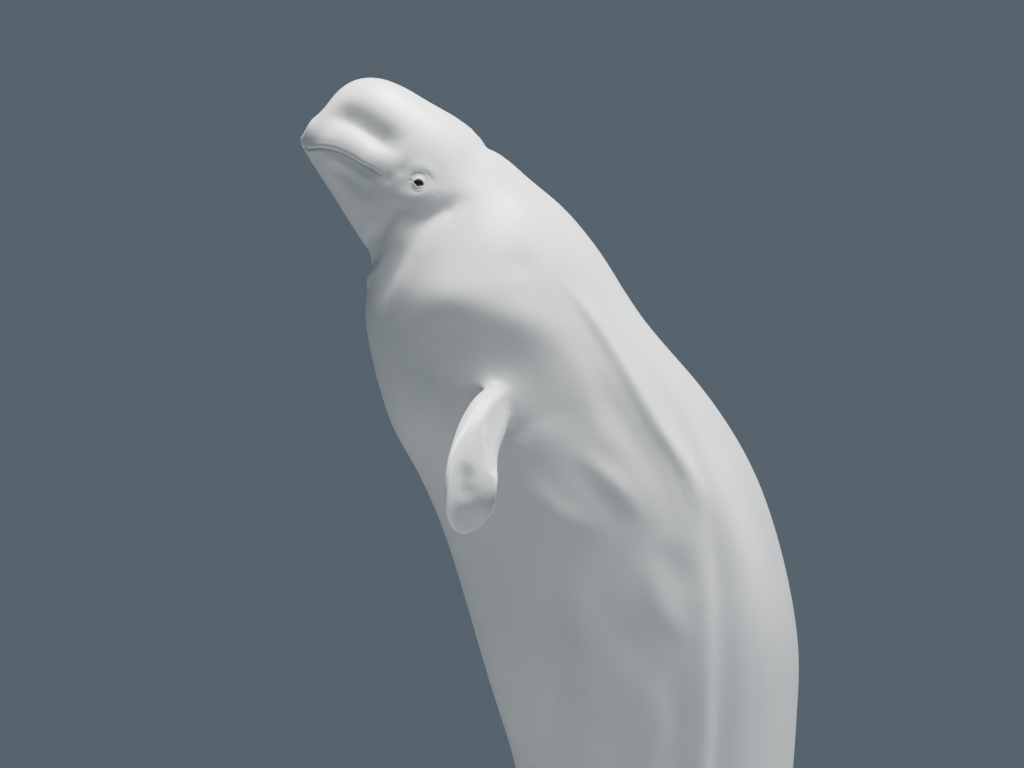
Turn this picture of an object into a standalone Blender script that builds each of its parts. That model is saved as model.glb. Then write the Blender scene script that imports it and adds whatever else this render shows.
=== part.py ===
"""A life-size still model of a beluga whale, upright in the water, on a plain display stand.

Metres, +Z up. The snout points to -X, the back is towards +X and the left side faces -Y.
The origin is at the centre of the underside of the stand's base. The body is a skin of
rings through named sections, parted into the pieces a person would name, with a gap of
0.3 mm between neighbours. Fins are lofted blades, cut where they meet the body.
"""

import math
from typing import NamedTuple

import bmesh
import bpy
from mathutils import Vector

# Gap between touching pieces
GAP = 0.0003
# Edges sharper than this stay sharp in the shading
SHARP_ANGLE = math.radians(50)
# Anything smaller counts as nothing
TINY = 1e-9

# Fineness of the solids
BODY_POINTS = 28
RING_SPACING_HEAD = 0.055
RING_SPACING_TRUNK = 0.095
BLADE_POINTS = 16
ROD_SIDES = 24

# Eyes: a ball on each side, its centre in the plane of symmetry's own x and z
EYE_RADIUS = 0.019
EYE_PLACE = (-0.437, 3.586)
EYE_DEPTH = 0.192
EYE_SEGMENTS = 16
EYE_RINGS = 10

# Flippers: the left one, whose middle line runs from inside the chest to the tip
FLIPPER_ROOT = (-0.204, -0.240, 3.032)
FLIPPER_ELBOW = (-0.204, -0.420, 3.038)
FLIPPER_WRIST = (-0.352, -0.640, 2.815)
FLIPPER_TIP = (-0.294, -0.535, 2.672)
FLIPPER_CHORD = 0.120
FLIPPER_ROOT_CHORD = 0.116
FLIPPER_ROOT_EDGE = (0.30, 0.36, -0.88)
FLIPPER_TIP_EDGE = (0.94, 0.18, 0.08)
FLIPPER_TURN = 0.9
FLIPPER_THICKNESS = 0.088
FLIPPER_TIP_THICKNESS = 0.022
# Where it starts to widen, its broadest place, its last section, and how square the tip is
FLIPPER_WAIST = 0.36
FLIPPER_PEAK = 0.80
FLIPPER_END = 0.992
FLIPPER_TIP_POWER = 2.6
FLIPPER_SECTIONS = 16
# The edges fall away by the root and rise into a bowl by the tip, in shares of the chord
FLIPPER_CAMBER = -0.17
FLIPPER_CUPPING = 0.38
FLIPPER_CUPPING_START = 0.46
FLIPPER_CUPPING_FULL = 0.82
FLIPPER_TIP_FLATTENING = 0.14
FLIPPER_CUPPING_POWER = 2.2

# Flukes: a flat blade across the end of the tail stock
FLUKE_NOTCH = (-0.342, 0.246)
FLUKE_PITCH = math.radians(36)
FLUKE_HALF_SPAN = 0.505
FLUKE_ROOT_REACH = 0.300
FLUKE_LOBE = 0.088
FLUKE_THICKNESS = 0.074
FLUKE_TIP_THICKNESS = 0.008
FLUKE_DROOP = 0.035
# Half of the chord that is left at the tip
FLUKE_TIP_HALF_CHORD = 0.007
# Powers that shape the front edge, the lobe behind, the thinning and the sections' spread
FLUKE_LEAD_POWER = 1.6
FLUKE_LOBE_POWER = 0.6
FLUKE_THINNING = 0.8
FLUKE_SPREAD = 1.15
FLUKE_SECTIONS = 15

# Stand
BASE_LENGTH = 1.56
BASE_WIDTH = 1.20
BASE_HEIGHT = 0.055
BASE_SQUARENESS = 4.0
BASE_CORNERS = 56
BASE_BEVEL = 0.012
BASE_BEVEL_STEP = 0.3
FLANGE_HEIGHT = 0.016
FLANGE_BEVEL = 0.003
SADDLE_THICKNESS = 0.012


class BladeForm(NamedTuple):
    """How a fin's section is rounded.

    rear_fullness is the thickness at the rear edge beside 1 at the front one, focus is how
    closely the thickness keeps to the front, and roundness is 2 for an ellipse.
    """

    rear_fullness: float
    focus: float
    roundness: float


FLIPPER_FORM = BladeForm(0.25, 2.0, 2.7)
FLUKE_FORM = BladeForm(0.40, 1.0, 2.0)


class Station(NamedTuple):
    """A section across the body: its ends in the plane of symmetry, and how it is shaped."""

    name: str
    back: tuple
    belly: tuple
    half_width: float
    widest: float = 0.50
    upper: float = 2.0
    lower: float = 2.0


# widest is the level of the widest line, 0 at the back and 1 at the belly. upper and lower
# are the powers of the curves above and below it: 2 is an ellipse, more is squarer.
STATIONS = (
    Station("jaw_tip", (-0.751, 3.757), (-0.751, 3.736), 0.024, 0.50, 2.1, 2.1),
    Station("lips", (-0.743, 3.778), (-0.745, 3.719), 0.053, 0.52, 2.3, 2.3),
    Station("beak_front", (-0.727, 3.803), (-0.735, 3.701), 0.075, 0.55, 2.2, 2.3),
    Station("beak_top", (-0.700, 3.823), (-0.722, 3.682), 0.092, 0.58, 2.0, 2.3),
    Station("melon_foot", (-0.679, 3.856), (-0.708, 3.660), 0.108, 0.62, 1.8, 2.3),
    Station("melon_face", (-0.647, 3.891), (-0.692, 3.634), 0.126, 0.62, 1.9, 2.2),
    Station("melon_brow", (-0.603, 3.913), (-0.671, 3.602), 0.144, 0.60, 2.0, 2.2),
    Station("melon_crown", (-0.547, 3.913), (-0.647, 3.562), 0.163, 0.57, 2.1, 2.1),
    Station("mouth_corner", (-0.486, 3.889), (-0.620, 3.519), 0.181, 0.55, 2.15, 2.1),
    Station("cheek", (-0.409, 3.842), (-0.596, 3.481), 0.197, 0.54, 2.15, 2.1),
    Station("eye", (-0.335, 3.799), (-0.577, 3.439), 0.206, 0.53, 2.1, 2.1),
    Station("blowhole", (-0.284, 3.753), (-0.569, 3.410), 0.210, 0.52, 2.1, 2.1),
    Station("nape", (-0.258, 3.723), (-0.575, 3.383), 0.213, 0.52, 2.1, 2.1),
    Station("neck", (-0.205, 3.691), (-0.583, 3.346), 0.219, 0.52, 2.05, 2.1),
    Station("neck_foot", (-0.150, 3.636), (-0.585, 3.303), 0.236, 0.52, 2.05, 2.1),
    Station("shoulder", (-0.074, 3.576), (-0.581, 3.250), 0.272, 0.52, 2.0, 2.1),
    Station("flipper_front", (0.028, 3.452), (-0.562, 3.150), 0.324, 0.52, 2.0, 2.1),
    Station("flipper_root", (0.142, 3.268), (-0.516, 2.998), 0.353, 0.52, 2.0, 2.1),
    Station("ribs", (0.319, 3.053), (-0.443, 2.865), 0.363, 0.52, 2.0, 2.1),
    Station("ribs_end", (0.436, 2.849), (-0.380, 2.723), 0.368, 0.52, 2.0, 2.1),
    Station("belly", (0.507, 2.607), (-0.321, 2.540), 0.369, 0.52, 2.0, 2.1),
    Station("navel", (0.534, 2.413), (-0.269, 2.362), 0.367, 0.52, 2.0, 2.1),
    Station("flank", (0.527, 2.268), (-0.228, 2.236), 0.358, 0.52, 2.0, 2.05),
    Station("waist", (0.514, 2.115), (-0.192, 2.115), 0.345, 0.51, 1.95, 2.0),
    Station("loin", (0.489, 1.867), (-0.141, 1.844), 0.310, 0.51, 1.9, 2.0),
    Station("vent", (0.445, 1.581), (-0.099, 1.610), 0.262, 0.50, 1.85, 1.95),
    Station("tail_root", (0.369, 1.302), (-0.077, 1.372), 0.208, 0.50, 1.85, 1.9),
    Station("tail_upper", (0.262, 1.034), (-0.082, 1.132), 0.155, 0.50, 1.8, 1.85),
    Station("tail_middle", (0.128, 0.785), (-0.122, 0.891), 0.108, 0.50, 1.8, 1.8),
    Station("tail_lower", (-0.023, 0.555), (-0.199, 0.653), 0.074, 0.50, 1.8, 1.8),
    Station("fluke_root", (-0.189, 0.343), (-0.305, 0.421), 0.052, 0.50, 1.9, 1.9),
    Station("tail_end", (-0.314, 0.262), (-0.338, 0.282), 0.016, 0.50, 2.0, 2.0),
)

# Each piece of the body, from one section to the next
BODY_PIECES = (
    ("neck", "nape", "shoulder"),
    ("chest", "shoulder", "ribs_end"),
    ("belly", "ribs_end", "flank"),
    ("loin", "flank", "vent"),
    ("tail_stock_upper", "vent", "tail_upper"),
    ("tail_stock_lower", "tail_upper", "tail_end"),
)

# The mouth, from in front of the snout to its corner, then the back of the jaw's piece
MOUTH_LINE = (
    (-0.817, 3.745),
    (-0.753, 3.728),
    (-0.730, 3.712),
    (-0.690, 3.698),
    (-0.655, 3.685),
    (-0.625, 3.670),
    (-0.592, 3.648),
    (-0.555, 3.625),
    (-0.529, 3.607),
)
JAW_BACK = ((-0.548, 3.575), (-0.660, 3.440), (-0.900, 3.440), (-0.900, 3.745))
JAW_CUTTER_HALF = 0.30


class Rod(NamedTuple):
    """A steel tube of the stand, with its foot on the base and its head under the tail."""

    name: str
    place: float
    radius: float
    top: float
    saddle_wall: float
    flange_radius: float


RODS = (
    Rod("main", 0.060, 0.045, 0.860, 0.030, 0.130),
    Rod("tail", -0.190, 0.025, 0.430, 0.018, 0.085),
)

# Finishes: colour, roughness and, for metal, metallic
SKIN = ((0.80, 0.82, 0.83), 0.5)
EYE = ((0.05, 0.03, 0.02), 0.1)
BASE_PAINT = ((0.16, 0.18, 0.20), 0.4)
STEEL = ((0.55, 0.56, 0.57), 0.3, 1.0)


def clear_scene():
    """Remove every object, so that the script starts from nothing."""
    for old in list(bpy.data.objects):
        bpy.data.objects.remove(old, do_unlink=True)


def material(name, colour, roughness, metallic=0.0):
    """A plain Principled material with the given colour."""
    made = bpy.data.materials.new(name)
    made.use_nodes = True
    shader = made.node_tree.nodes["Principled BSDF"]
    shader.inputs["Base Color"].default_value = (*colour, 1.0)
    shader.inputs["Roughness"].default_value = roughness
    shader.inputs["Metallic"].default_value = metallic
    return made


def add_object(name, mesh_data, finish=None, smooth=True):
    """Turn a bmesh into a named object with its own copy of the finish."""
    bmesh.ops.recalc_face_normals(mesh_data, faces=mesh_data.faces)
    mesh = bpy.data.meshes.new(name)
    mesh_data.to_mesh(mesh)
    mesh_data.free()
    if smooth:
        mesh.shade_smooth()
        mesh.set_sharp_from_angle(angle=SHARP_ANGLE)
    if finish is not None:
        mesh.materials.append(material(name, *finish))
    made = bpy.data.objects.new(name, mesh)
    bpy.context.scene.collection.objects.link(made)
    return made


def as_cutter(cutter):
    """Mark an object as a cutter, which is no part of the model."""
    cutter.hide_render = True
    cutter.display_type = "WIRE"
    return cutter


def cut(target, cutter, operation="DIFFERENCE"):
    """Put a Boolean on the target."""
    modifier = target.modifiers.new(f"{operation.lower()}_{cutter.name}", "BOOLEAN")
    modifier.operation = operation
    modifier.solver = "EXACT"
    modifier.object = cutter


def blend(values, position):
    """Catmull-Rom value at a position counted in steps along a list of tuples."""
    last = len(values) - 1
    i = min(int(position), last - 1)
    t = position - i
    p0 = values[max(i - 1, 0)]
    p1 = values[i]
    p2 = values[i + 1]
    p3 = values[min(i + 2, last)]
    out = []
    for a, b, c, d in zip(p0, p1, p2, p3):
        slope_in = (c - a) / 2
        slope_out = (d - b) / 2
        cube = 2 * b - 2 * c + slope_in + slope_out
        square = -3 * b + 3 * c - 2 * slope_in - slope_out
        out.append(((cube * t + square) * t + slope_in) * t + b)
    return out


STATION_VALUES = [
    (*s.back, *s.belly, s.half_width, s.widest, s.upper, s.lower) for s in STATIONS
]
STATION_NUMBER = {s.name: i for i, s in enumerate(STATIONS)}


def bulge(value, power):
    """A sine or cosine drawn out towards a square by a power."""
    return math.copysign(abs(value) ** (2.0 / power), value)


def section(position, grow=0.0):
    """The ring of points round the body at a position counted in stations."""
    bx, bz, ex, ez, half_width, widest, upper, lower = blend(STATION_VALUES, position)
    back = Vector((bx, 0, bz))
    belly = Vector((ex, 0, ez))
    rise = (back - belly).normalized()
    back = back + rise * grow
    belly = belly - rise * grow
    middle = back.lerp(belly, widest)
    ring = []
    for k in range(BODY_POINTS):
        angle = math.tau * k / BODY_POINTS
        level, side = math.cos(angle), math.sin(angle)
        if abs(level) < TINY:
            level = 0.0
        end, power = (back, upper) if level >= 0 else (belly, lower)
        reach = (end - middle).length * bulge(level, power)
        ring.append(middle + rise * reach + Vector((0, (half_width + grow) * bulge(side, power), 0)))
    return ring


def ring_positions(first, last):
    """Where the rings stand between two stations, closer together on the head."""
    positions = [float(first)]
    for i in range(first, last):
        a, b = STATION_VALUES[i], STATION_VALUES[i + 1]
        run = max(math.dist(a[0:2], b[0:2]), math.dist(a[2:4], b[2:4]))
        head = i < STATION_NUMBER["nape"]
        spacing = RING_SPACING_HEAD if head else RING_SPACING_TRUNK
        steps = max(1, round(run / spacing))
        positions += [i + (k + 1) / steps for k in range(steps)]
    return positions


def loft(rings):
    """A closed mesh through rings of equal count, with flat ends.

    Each step is split into triangles the same way every time, mirrored on the second half
    of the ring, so that a grown copy of a shape has the same folds as the shape itself.
    """
    made = bmesh.new()
    rows = [[made.verts.new(p) for p in ring] for ring in rings]
    count = len(rows[0])
    for row, following in zip(rows, rows[1:]):
        for k in range(count):
            n = (k + 1) % count
            if k < count // 2:
                made.faces.new((row[k], row[n], following[n]))
                made.faces.new((row[k], following[n], following[k]))
            else:
                made.faces.new((row[k], row[n], following[k]))
                made.faces.new((row[n], following[n], following[k]))
    made.faces.new(rows[0])
    made.faces.new(list(reversed(rows[-1])))
    return made


def body_rings(first_name, last_name, grow=0.0):
    """The body's rings from one named station to another."""
    first, last = STATION_NUMBER[first_name], STATION_NUMBER[last_name]
    return [section(p, grow) for p in ring_positions(first, last)]


def slide_end(rings, distance):
    """Move the last ring away from the others by a distance, along its own axis."""
    ring, before = rings[-1], rings[-2]
    across = ring[BODY_POINTS // 4] - ring[3 * BODY_POINTS // 4]
    tall = ring[0] - ring[BODY_POINTS // 2]
    axis = across.cross(tall).normalized()
    away = ring[0] - before[0] + ring[BODY_POINTS // 2] - before[BODY_POINTS // 2]
    if axis.dot(away) < 0:
        axis.negate()
    rings[-1] = [p + axis * distance for p in ring]
    return rings


def make_trunk():
    """The pieces of the body behind the head."""
    for name, first, last in BODY_PIECES:
        rings = body_rings(first, last)
        if name != BODY_PIECES[-1][0]:
            rings = slide_end(rings, -GAP)
        add_object(name, loft(rings), SKIN)


def prism(outline, half_depth):
    """A closed block with the given outline in x and z, as deep to each side of y = 0."""
    made = bmesh.new()
    near = [made.verts.new((x, -half_depth, z)) for x, z in outline]
    far = [made.verts.new((x, half_depth, z)) for x, z in outline]
    count = len(outline)
    for k in range(count):
        n = (k + 1) % count
        made.faces.new((near[k], near[n], far[n], far[k]))
    made.faces.new(near)
    made.faces.new(list(reversed(far)))
    return made


def ball(radius, centre):
    """A ball whose poles point sideways, so that its centre faces out of the head."""
    made = bmesh.new()
    bmesh.ops.create_uvsphere(
        made, u_segments=EYE_SEGMENTS, v_segments=EYE_RINGS, radius=radius
    )
    for v in made.verts:
        x, y, z = v.co
        v.co = Vector((x, z, -y)) + Vector(centre)
    return made


def make_head():
    """Head, lower jaw and eyes, parted along the line of the mouth."""
    outline = MOUTH_LINE + JAW_BACK
    jaw_block = as_cutter(add_object("jaw_block", prism(outline, JAW_CUTTER_HALF)))
    grown = [(x + GAP, z + GAP) for x, z in outline]
    mouth_cut = as_cutter(add_object("mouth_cut", prism(grown, JAW_CUTTER_HALF + GAP)))
    head = add_object("head", loft(slide_end(body_rings("jaw_tip", "nape"), -GAP)), SKIN)
    cut(head, mouth_cut)
    jaw = add_object("lower_jaw", loft(body_rings("jaw_tip", "nape")), SKIN)
    cut(jaw, jaw_block, "INTERSECT")
    for name, side in (("left", -1), ("right", 1)):
        centre = (EYE_PLACE[0], side * EYE_DEPTH, EYE_PLACE[1])
        add_object(f"eye_{name}", ball(EYE_RADIUS, centre), EYE)
        socket = as_cutter(add_object(f"socket_{name}", ball(EYE_RADIUS + GAP, centre)))
        cut(head, socket)


def blade_ring(form, middle, edge, normal, chord, thickness, cupping=0.0):
    """A section of a fin: round at its front edge, thin at its rear edge."""
    ring = []
    for k in range(BLADE_POINTS):
        angle = math.tau * k / BLADE_POINTS
        forward = math.cos(angle)
        fullness = form.rear_fullness + (1 - form.rear_fullness) * ((forward + 1) / 2) ** form.focus
        lift = thickness / 2 * bulge(math.sin(angle), form.roundness) * fullness
        cup = cupping * abs(forward) ** FLIPPER_CUPPING_POWER
        ring.append(middle - edge * (forward * chord / 2) + normal * (lift + cup))
    return ring


def ease(value):
    """A soft step from 0 to 1."""
    value = min(max(value, 0.0), 1.0)
    return value * value * (3 - 2 * value)


def flipper_chord(t):
    """Chord along a flipper: even to its waist, wider to its peak, then round at the tip."""
    if t < FLIPPER_PEAK:
        wider = ease((t - FLIPPER_WAIST) / (FLIPPER_PEAK - FLIPPER_WAIST))
        return FLIPPER_ROOT_CHORD + (FLIPPER_CHORD - FLIPPER_ROOT_CHORD) * wider
    fall = (t - FLIPPER_PEAK) / (1 - FLIPPER_PEAK)
    return FLIPPER_CHORD * math.sqrt(max(1 - fall**FLIPPER_TIP_POWER, 0.0))


def flipper_cupping(t):
    """How far a flipper's edges stand above its middle, as a share of the chord."""
    cupped = ease((t - FLIPPER_CUPPING_START) / (FLIPPER_CUPPING_FULL - FLIPPER_CUPPING_START))
    rise = FLIPPER_CAMBER + (FLIPPER_CUPPING - FLIPPER_CAMBER) * cupped
    return rise * ease((1 - t) / FLIPPER_TIP_FLATTENING)


def bezier(points, t):
    """A point and the direction on a cubic curve."""
    a, b, c, d = (Vector(p) for p in points)
    s = 1 - t
    place = a * s**3 + b * 3 * s * s * t + c * 3 * s * t * t + d * t**3
    heading = (b - a) * s * s + (c - b) * 2 * s * t + (d - c) * t * t
    return place, heading.normalized()


def flipper_rings(side):
    """The sections of a flipper, mirrored for the right side."""
    route = (FLIPPER_ROOT, FLIPPER_ELBOW, FLIPPER_WRIST, FLIPPER_TIP)
    rings = []
    for i in range(FLIPPER_SECTIONS):
        share = i / (FLIPPER_SECTIONS - 1)
        t = math.sin(math.pi / 2 * share) * FLIPPER_END
        middle, heading = bezier(route, t)
        edge = Vector(FLIPPER_ROOT_EDGE).lerp(Vector(FLIPPER_TIP_EDGE), t**FLIPPER_TURN)
        edge = (edge - heading * edge.dot(heading)).normalized()
        normal = heading.cross(edge).normalized()
        chord = flipper_chord(t)
        thickness = FLIPPER_THICKNESS + (FLIPPER_TIP_THICKNESS - FLIPPER_THICKNESS) * t
        cupping = flipper_cupping(t) * chord
        ring = blade_ring(FLIPPER_FORM, middle, edge, normal, chord, thickness, cupping)
        rings.append([Vector((p.x, -side * p.y, p.z)) for p in ring])
    return rings


def make_flippers(body_cut):
    """Both flippers, cut where they leave the chest."""
    for name, side in (("left", -1), ("right", 1)):
        flipper = add_object(f"flipper_{name}", loft(flipper_rings(side)), SKIN)
        cut(flipper, body_cut)


def fluke_rings(side):
    """The sections of one fluke, from the middle of the tail to its tip."""
    forward = Vector((math.sin(FLUKE_PITCH), 0, math.cos(FLUKE_PITCH)))
    normal = Vector((math.cos(FLUKE_PITCH), 0, -math.sin(FLUKE_PITCH)))
    notch = Vector((FLUKE_NOTCH[0], 0, FLUKE_NOTCH[1]))
    rings = []
    for i in range(FLUKE_SECTIONS):
        t = math.sin(math.pi / 2 * i / (FLUKE_SECTIONS - 1)) ** FLUKE_SPREAD
        lead = FLUKE_ROOT_REACH * (1 - t**FLUKE_LEAD_POWER) + FLUKE_TIP_HALF_CHORD
        trail = -FLUKE_LOBE * math.sin(math.pi * t**FLUKE_LOBE_POWER) - FLUKE_TIP_HALF_CHORD
        sideways = Vector((0, side * max(t * FLUKE_HALF_SPAN, GAP / 2), 0))
        middle = notch + forward * ((lead + trail) / 2) + sideways - normal * (FLUKE_DROOP * t * t)
        thinner = (FLUKE_TIP_THICKNESS - FLUKE_THICKNESS) * t**FLUKE_THINNING
        thickness = FLUKE_THICKNESS + thinner
        rings.append(blade_ring(FLUKE_FORM, middle, -forward, normal, lead - trail, thickness))
    return rings


def make_flukes(body_cut):
    """Both flukes, cut where they leave the tail stock."""
    for name, side in (("left", -1), ("right", 1)):
        fluke = add_object(f"fluke_{name}", loft(fluke_rings(side)), SKIN)
        cut(fluke, body_cut)


def turned(profile, centre_x, sides):
    """A closed round piece from radii and heights, bottom first, about a vertical axis."""
    rings = []
    for radius, height in profile:
        ring = []
        for k in range(sides):
            angle = math.tau * k / sides
            ring.append(
                Vector((centre_x + radius * math.cos(angle), radius * math.sin(angle), height))
            )
        rings.append(ring)
    return loft(rings)


def sleeve(inner, outer, bottom, top, centre_x, sides):
    """A round tube with square ends about a vertical axis."""
    made = bmesh.new()
    rows = []
    for radius, height in ((inner, bottom), (outer, bottom), (outer, top), (inner, top)):
        row = []
        for k in range(sides):
            angle = math.tau * k / sides
            x = centre_x + radius * math.cos(angle)
            row.append(made.verts.new((x, radius * math.sin(angle), height)))
        rows.append(row)
    for i, row in enumerate(rows):
        following = rows[(i + 1) % len(rows)]
        for k in range(sides):
            n = (k + 1) % sides
            made.faces.new((row[k], row[n], following[n], following[k]))
    return made


def base_ring(inset, height):
    """The outline of the base, a rounded rectangle by formula, drawn in by an inset."""
    ring = []
    for k in range(BASE_CORNERS):
        angle = math.tau * k / BASE_CORNERS
        x = (BASE_LENGTH / 2 - inset) * bulge(math.cos(angle), BASE_SQUARENESS)
        y = (BASE_WIDTH / 2 - inset) * bulge(math.sin(angle), BASE_SQUARENESS)
        ring.append(Vector((x, y, height)))
    return ring


def make_base():
    """The flat base, with a bevel round its top."""
    rings = [
        base_ring(0.0, 0.0),
        base_ring(0.0, BASE_HEIGHT - BASE_BEVEL),
        base_ring(BASE_BEVEL * BASE_BEVEL_STEP, BASE_HEIGHT - BASE_BEVEL * BASE_BEVEL_STEP),
        base_ring(BASE_BEVEL, BASE_HEIGHT),
    ]
    add_object("stand_base", loft(rings), BASE_PAINT)


def make_rod(rod, body_cut, saddle_shape):
    """A rod with its flange on the base and its saddle, a ring that lies against the skin."""
    foot = BASE_HEIGHT + GAP
    flange_top = foot + FLANGE_HEIGHT
    flange = [
        (rod.flange_radius, foot),
        (rod.flange_radius, flange_top - FLANGE_BEVEL),
        (rod.flange_radius - FLANGE_BEVEL, flange_top),
    ]
    add_object(f"stand_flange_{rod.name}", turned(flange, rod.place, 2 * ROD_SIDES), STEEL)
    column = [(rod.radius, flange_top + GAP), (rod.radius, rod.top)]
    tube = add_object(f"stand_rod_{rod.name}", turned(column, rod.place, ROD_SIDES), STEEL)
    cut(tube, body_cut)
    inner = (rod.radius + GAP) / math.cos(math.pi / ROD_SIDES)
    outer = rod.radius + rod.saddle_wall
    saddle = add_object(
        f"stand_saddle_{rod.name}",
        sleeve(inner, outer, rod.top / 2, rod.top, rod.place, ROD_SIDES),
        STEEL,
    )
    cut(saddle, saddle_shape, "INTERSECT")
    cut(saddle, body_cut)


def grown_body(name, grow):
    """A cutter in the shape of the body, larger all round."""
    rings = slide_end(body_rings("neck_foot", "tail_end", grow), grow)
    return as_cutter(add_object(name, loft(rings)))


def main():
    """Build the whale and its stand."""
    clear_scene()
    body_cut = grown_body("body_cut", GAP)
    saddle_shape = grown_body("saddle_shape", SADDLE_THICKNESS)
    make_head()
    make_trunk()
    make_flippers(body_cut)
    make_flukes(body_cut)
    make_base()
    for rod in RODS:
        make_rod(rod, body_cut, saddle_shape)


main()
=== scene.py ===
"""Looks of a life-size still model of a beluga whale, held upright by a plain display stand.

Metres, +Z up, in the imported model's own frame: the snout points to -X, the back is towards
+X, and the left side, which the camera sees, faces -Y. One skin stands for all the nodes of
flesh. It is grown as a cage of rings from the snout to the tail, with the fins drawn out of
its sides, then rounded by subdivision and worked over with folds, hollows, lips and lids.
"""

import logging
import math
from collections.abc import Callable, Iterable, Sequence
from dataclasses import dataclass, field, replace
from enum import Enum

import bmesh
import bpy
import numpy as np
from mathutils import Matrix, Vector
from mathutils.bvhtree import BVHTree


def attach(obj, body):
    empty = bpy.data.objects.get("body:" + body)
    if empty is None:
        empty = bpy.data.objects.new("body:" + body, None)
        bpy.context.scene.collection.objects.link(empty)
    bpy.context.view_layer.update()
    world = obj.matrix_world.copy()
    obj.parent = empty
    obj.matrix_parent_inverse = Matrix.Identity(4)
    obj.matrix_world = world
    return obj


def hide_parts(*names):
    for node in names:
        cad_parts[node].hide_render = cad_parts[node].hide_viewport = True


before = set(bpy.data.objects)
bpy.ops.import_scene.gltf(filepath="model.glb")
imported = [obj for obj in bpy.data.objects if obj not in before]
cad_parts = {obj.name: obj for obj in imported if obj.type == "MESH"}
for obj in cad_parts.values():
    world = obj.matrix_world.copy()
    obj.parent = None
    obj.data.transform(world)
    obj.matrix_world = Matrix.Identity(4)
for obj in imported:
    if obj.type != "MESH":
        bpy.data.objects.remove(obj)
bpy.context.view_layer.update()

LOG = logging.getLogger("beluga")
BODY = "root"
FLESH = (
    "head",
    "lower_jaw",
    "neck",
    "chest",
    "belly",
    "loin",
    "tail_stock_upper",
    "tail_stock_lower",
    "flipper_left",
    "flipper_right",
    "fluke_left",
    "fluke_right",
)
TINY = 1e-9
# The gap between pieces that touch
GAP = 0.0003
# A face is split while its side is this many times what its zone asks for
LARGER = 1.35


class Side(Enum):
    """The animal's two sides, by the sign of y."""

    LEFT = -1
    RIGHT = 1


class Slot(Enum):
    """The record's material slots."""

    SKIN = "skin"
    EYE = "eye"
    BASE = "base_paint"
    STEEL = "stand_steel"


class Pick(Enum):
    """What a selection in edit mode is made of."""

    VERTICES = (True, False, False)
    EDGES = (False, True, False)
    FACES = (False, False, True)


def deselect_all() -> None:
    """Leave nothing selected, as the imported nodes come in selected."""
    bpy.ops.object.select_all(action="DESELECT")


def activate(piece: bpy.types.Object) -> None:
    """Make a piece the active object and the only one selected."""
    deselect_all()
    piece.select_set(True)
    bpy.context.view_layer.objects.active = piece


def apply_modifier(piece: bpy.types.Object, kind: str, **settings: object) -> None:
    """Put a modifier on a piece and apply it.

    Args:
        piece: the piece to change.
        kind: Blender's name for the modifier's type.
        settings: values for the modifier's own properties.
    """
    activate(piece)
    modifier = piece.modifiers.new(kind.lower(), kind)
    for name, value in settings.items():
        setattr(modifier, name, value)
    bpy.ops.object.modifier_apply(modifier=modifier.name)


def bury_place(piece: bpy.types.Object) -> None:
    """Move a piece's place, turn and scale into its mesh, so that its object sits at the origin."""
    activate(piece)
    bpy.ops.object.transform_apply(location=True, rotation=True, scale=True)


class EditMode:
    """Edit mode on one piece, with selections made by place."""

    def __init__(self, piece: bpy.types.Object) -> None:
        """Remember the piece to work on."""
        self.piece = piece

    def __enter__(self) -> "EditMode":
        """Open edit mode on the piece alone."""
        activate(self.piece)
        bpy.ops.object.mode_set(mode="EDIT")
        return self

    def __exit__(self, *_: object) -> None:
        """Close edit mode."""
        bpy.ops.object.mode_set(mode="OBJECT")

    @property
    def mesh(self) -> bmesh.types.BMesh:
        """The piece's mesh as it is now."""
        return bmesh.from_edit_mesh(self.piece.data)

    def pick(self, kind: Pick, test: Callable[[object], bool]) -> int:
        """Select the vertices, edges or faces that pass a test, and nothing else.

        Args:
            kind: whether vertices, edges or faces are picked.
            test: says whether one of them is wanted.

        Returns:
            How many were picked.
        """
        bpy.context.tool_settings.mesh_select_mode = kind.value
        bpy.ops.mesh.select_all(action="DESELECT")
        mesh = self.mesh
        elements = {Pick.VERTICES: mesh.verts, Pick.EDGES: mesh.edges, Pick.FACES: mesh.faces}[kind]
        wanted = [e for e in elements if test(e)]
        for element in wanted:
            element.select_set(True)
        mesh.select_flush_mode()
        bmesh.update_edit_mesh(self.piece.data)
        return len(wanted)

    def place(self, where: Callable[[bmesh.types.BMVert], Vector | None]) -> None:
        """Move the selected vertices.

        Args:
            where: a vertex's new place, or None to leave it.
        """
        mesh = self.mesh
        for vertex in mesh.verts:
            spot = where(vertex) if vertex.select else None
            if spot is not None:
                vertex.co = spot
        bmesh.update_edit_mesh(self.piece.data)


@dataclass(frozen=True)
class Station:
    """A section across the body.

    back and belly are its ends in the plane of symmetry, as x and z. widest is the level of
    the widest line, 0 at the back and 1 at the belly. upper and lower are the powers of the
    curves above and below it: 2 is an ellipse, more is squarer.
    """

    name: str
    back: tuple[float, float]
    belly: tuple[float, float]
    half_width: float
    widest: float = 0.50
    upper: float = 2.0
    lower: float = 2.0

    @property
    def values(self) -> tuple[float, ...]:
        """The section's numbers in one row, for blending."""
        return (*self.back, *self.belly, self.half_width, self.widest, self.upper, self.lower)


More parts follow.
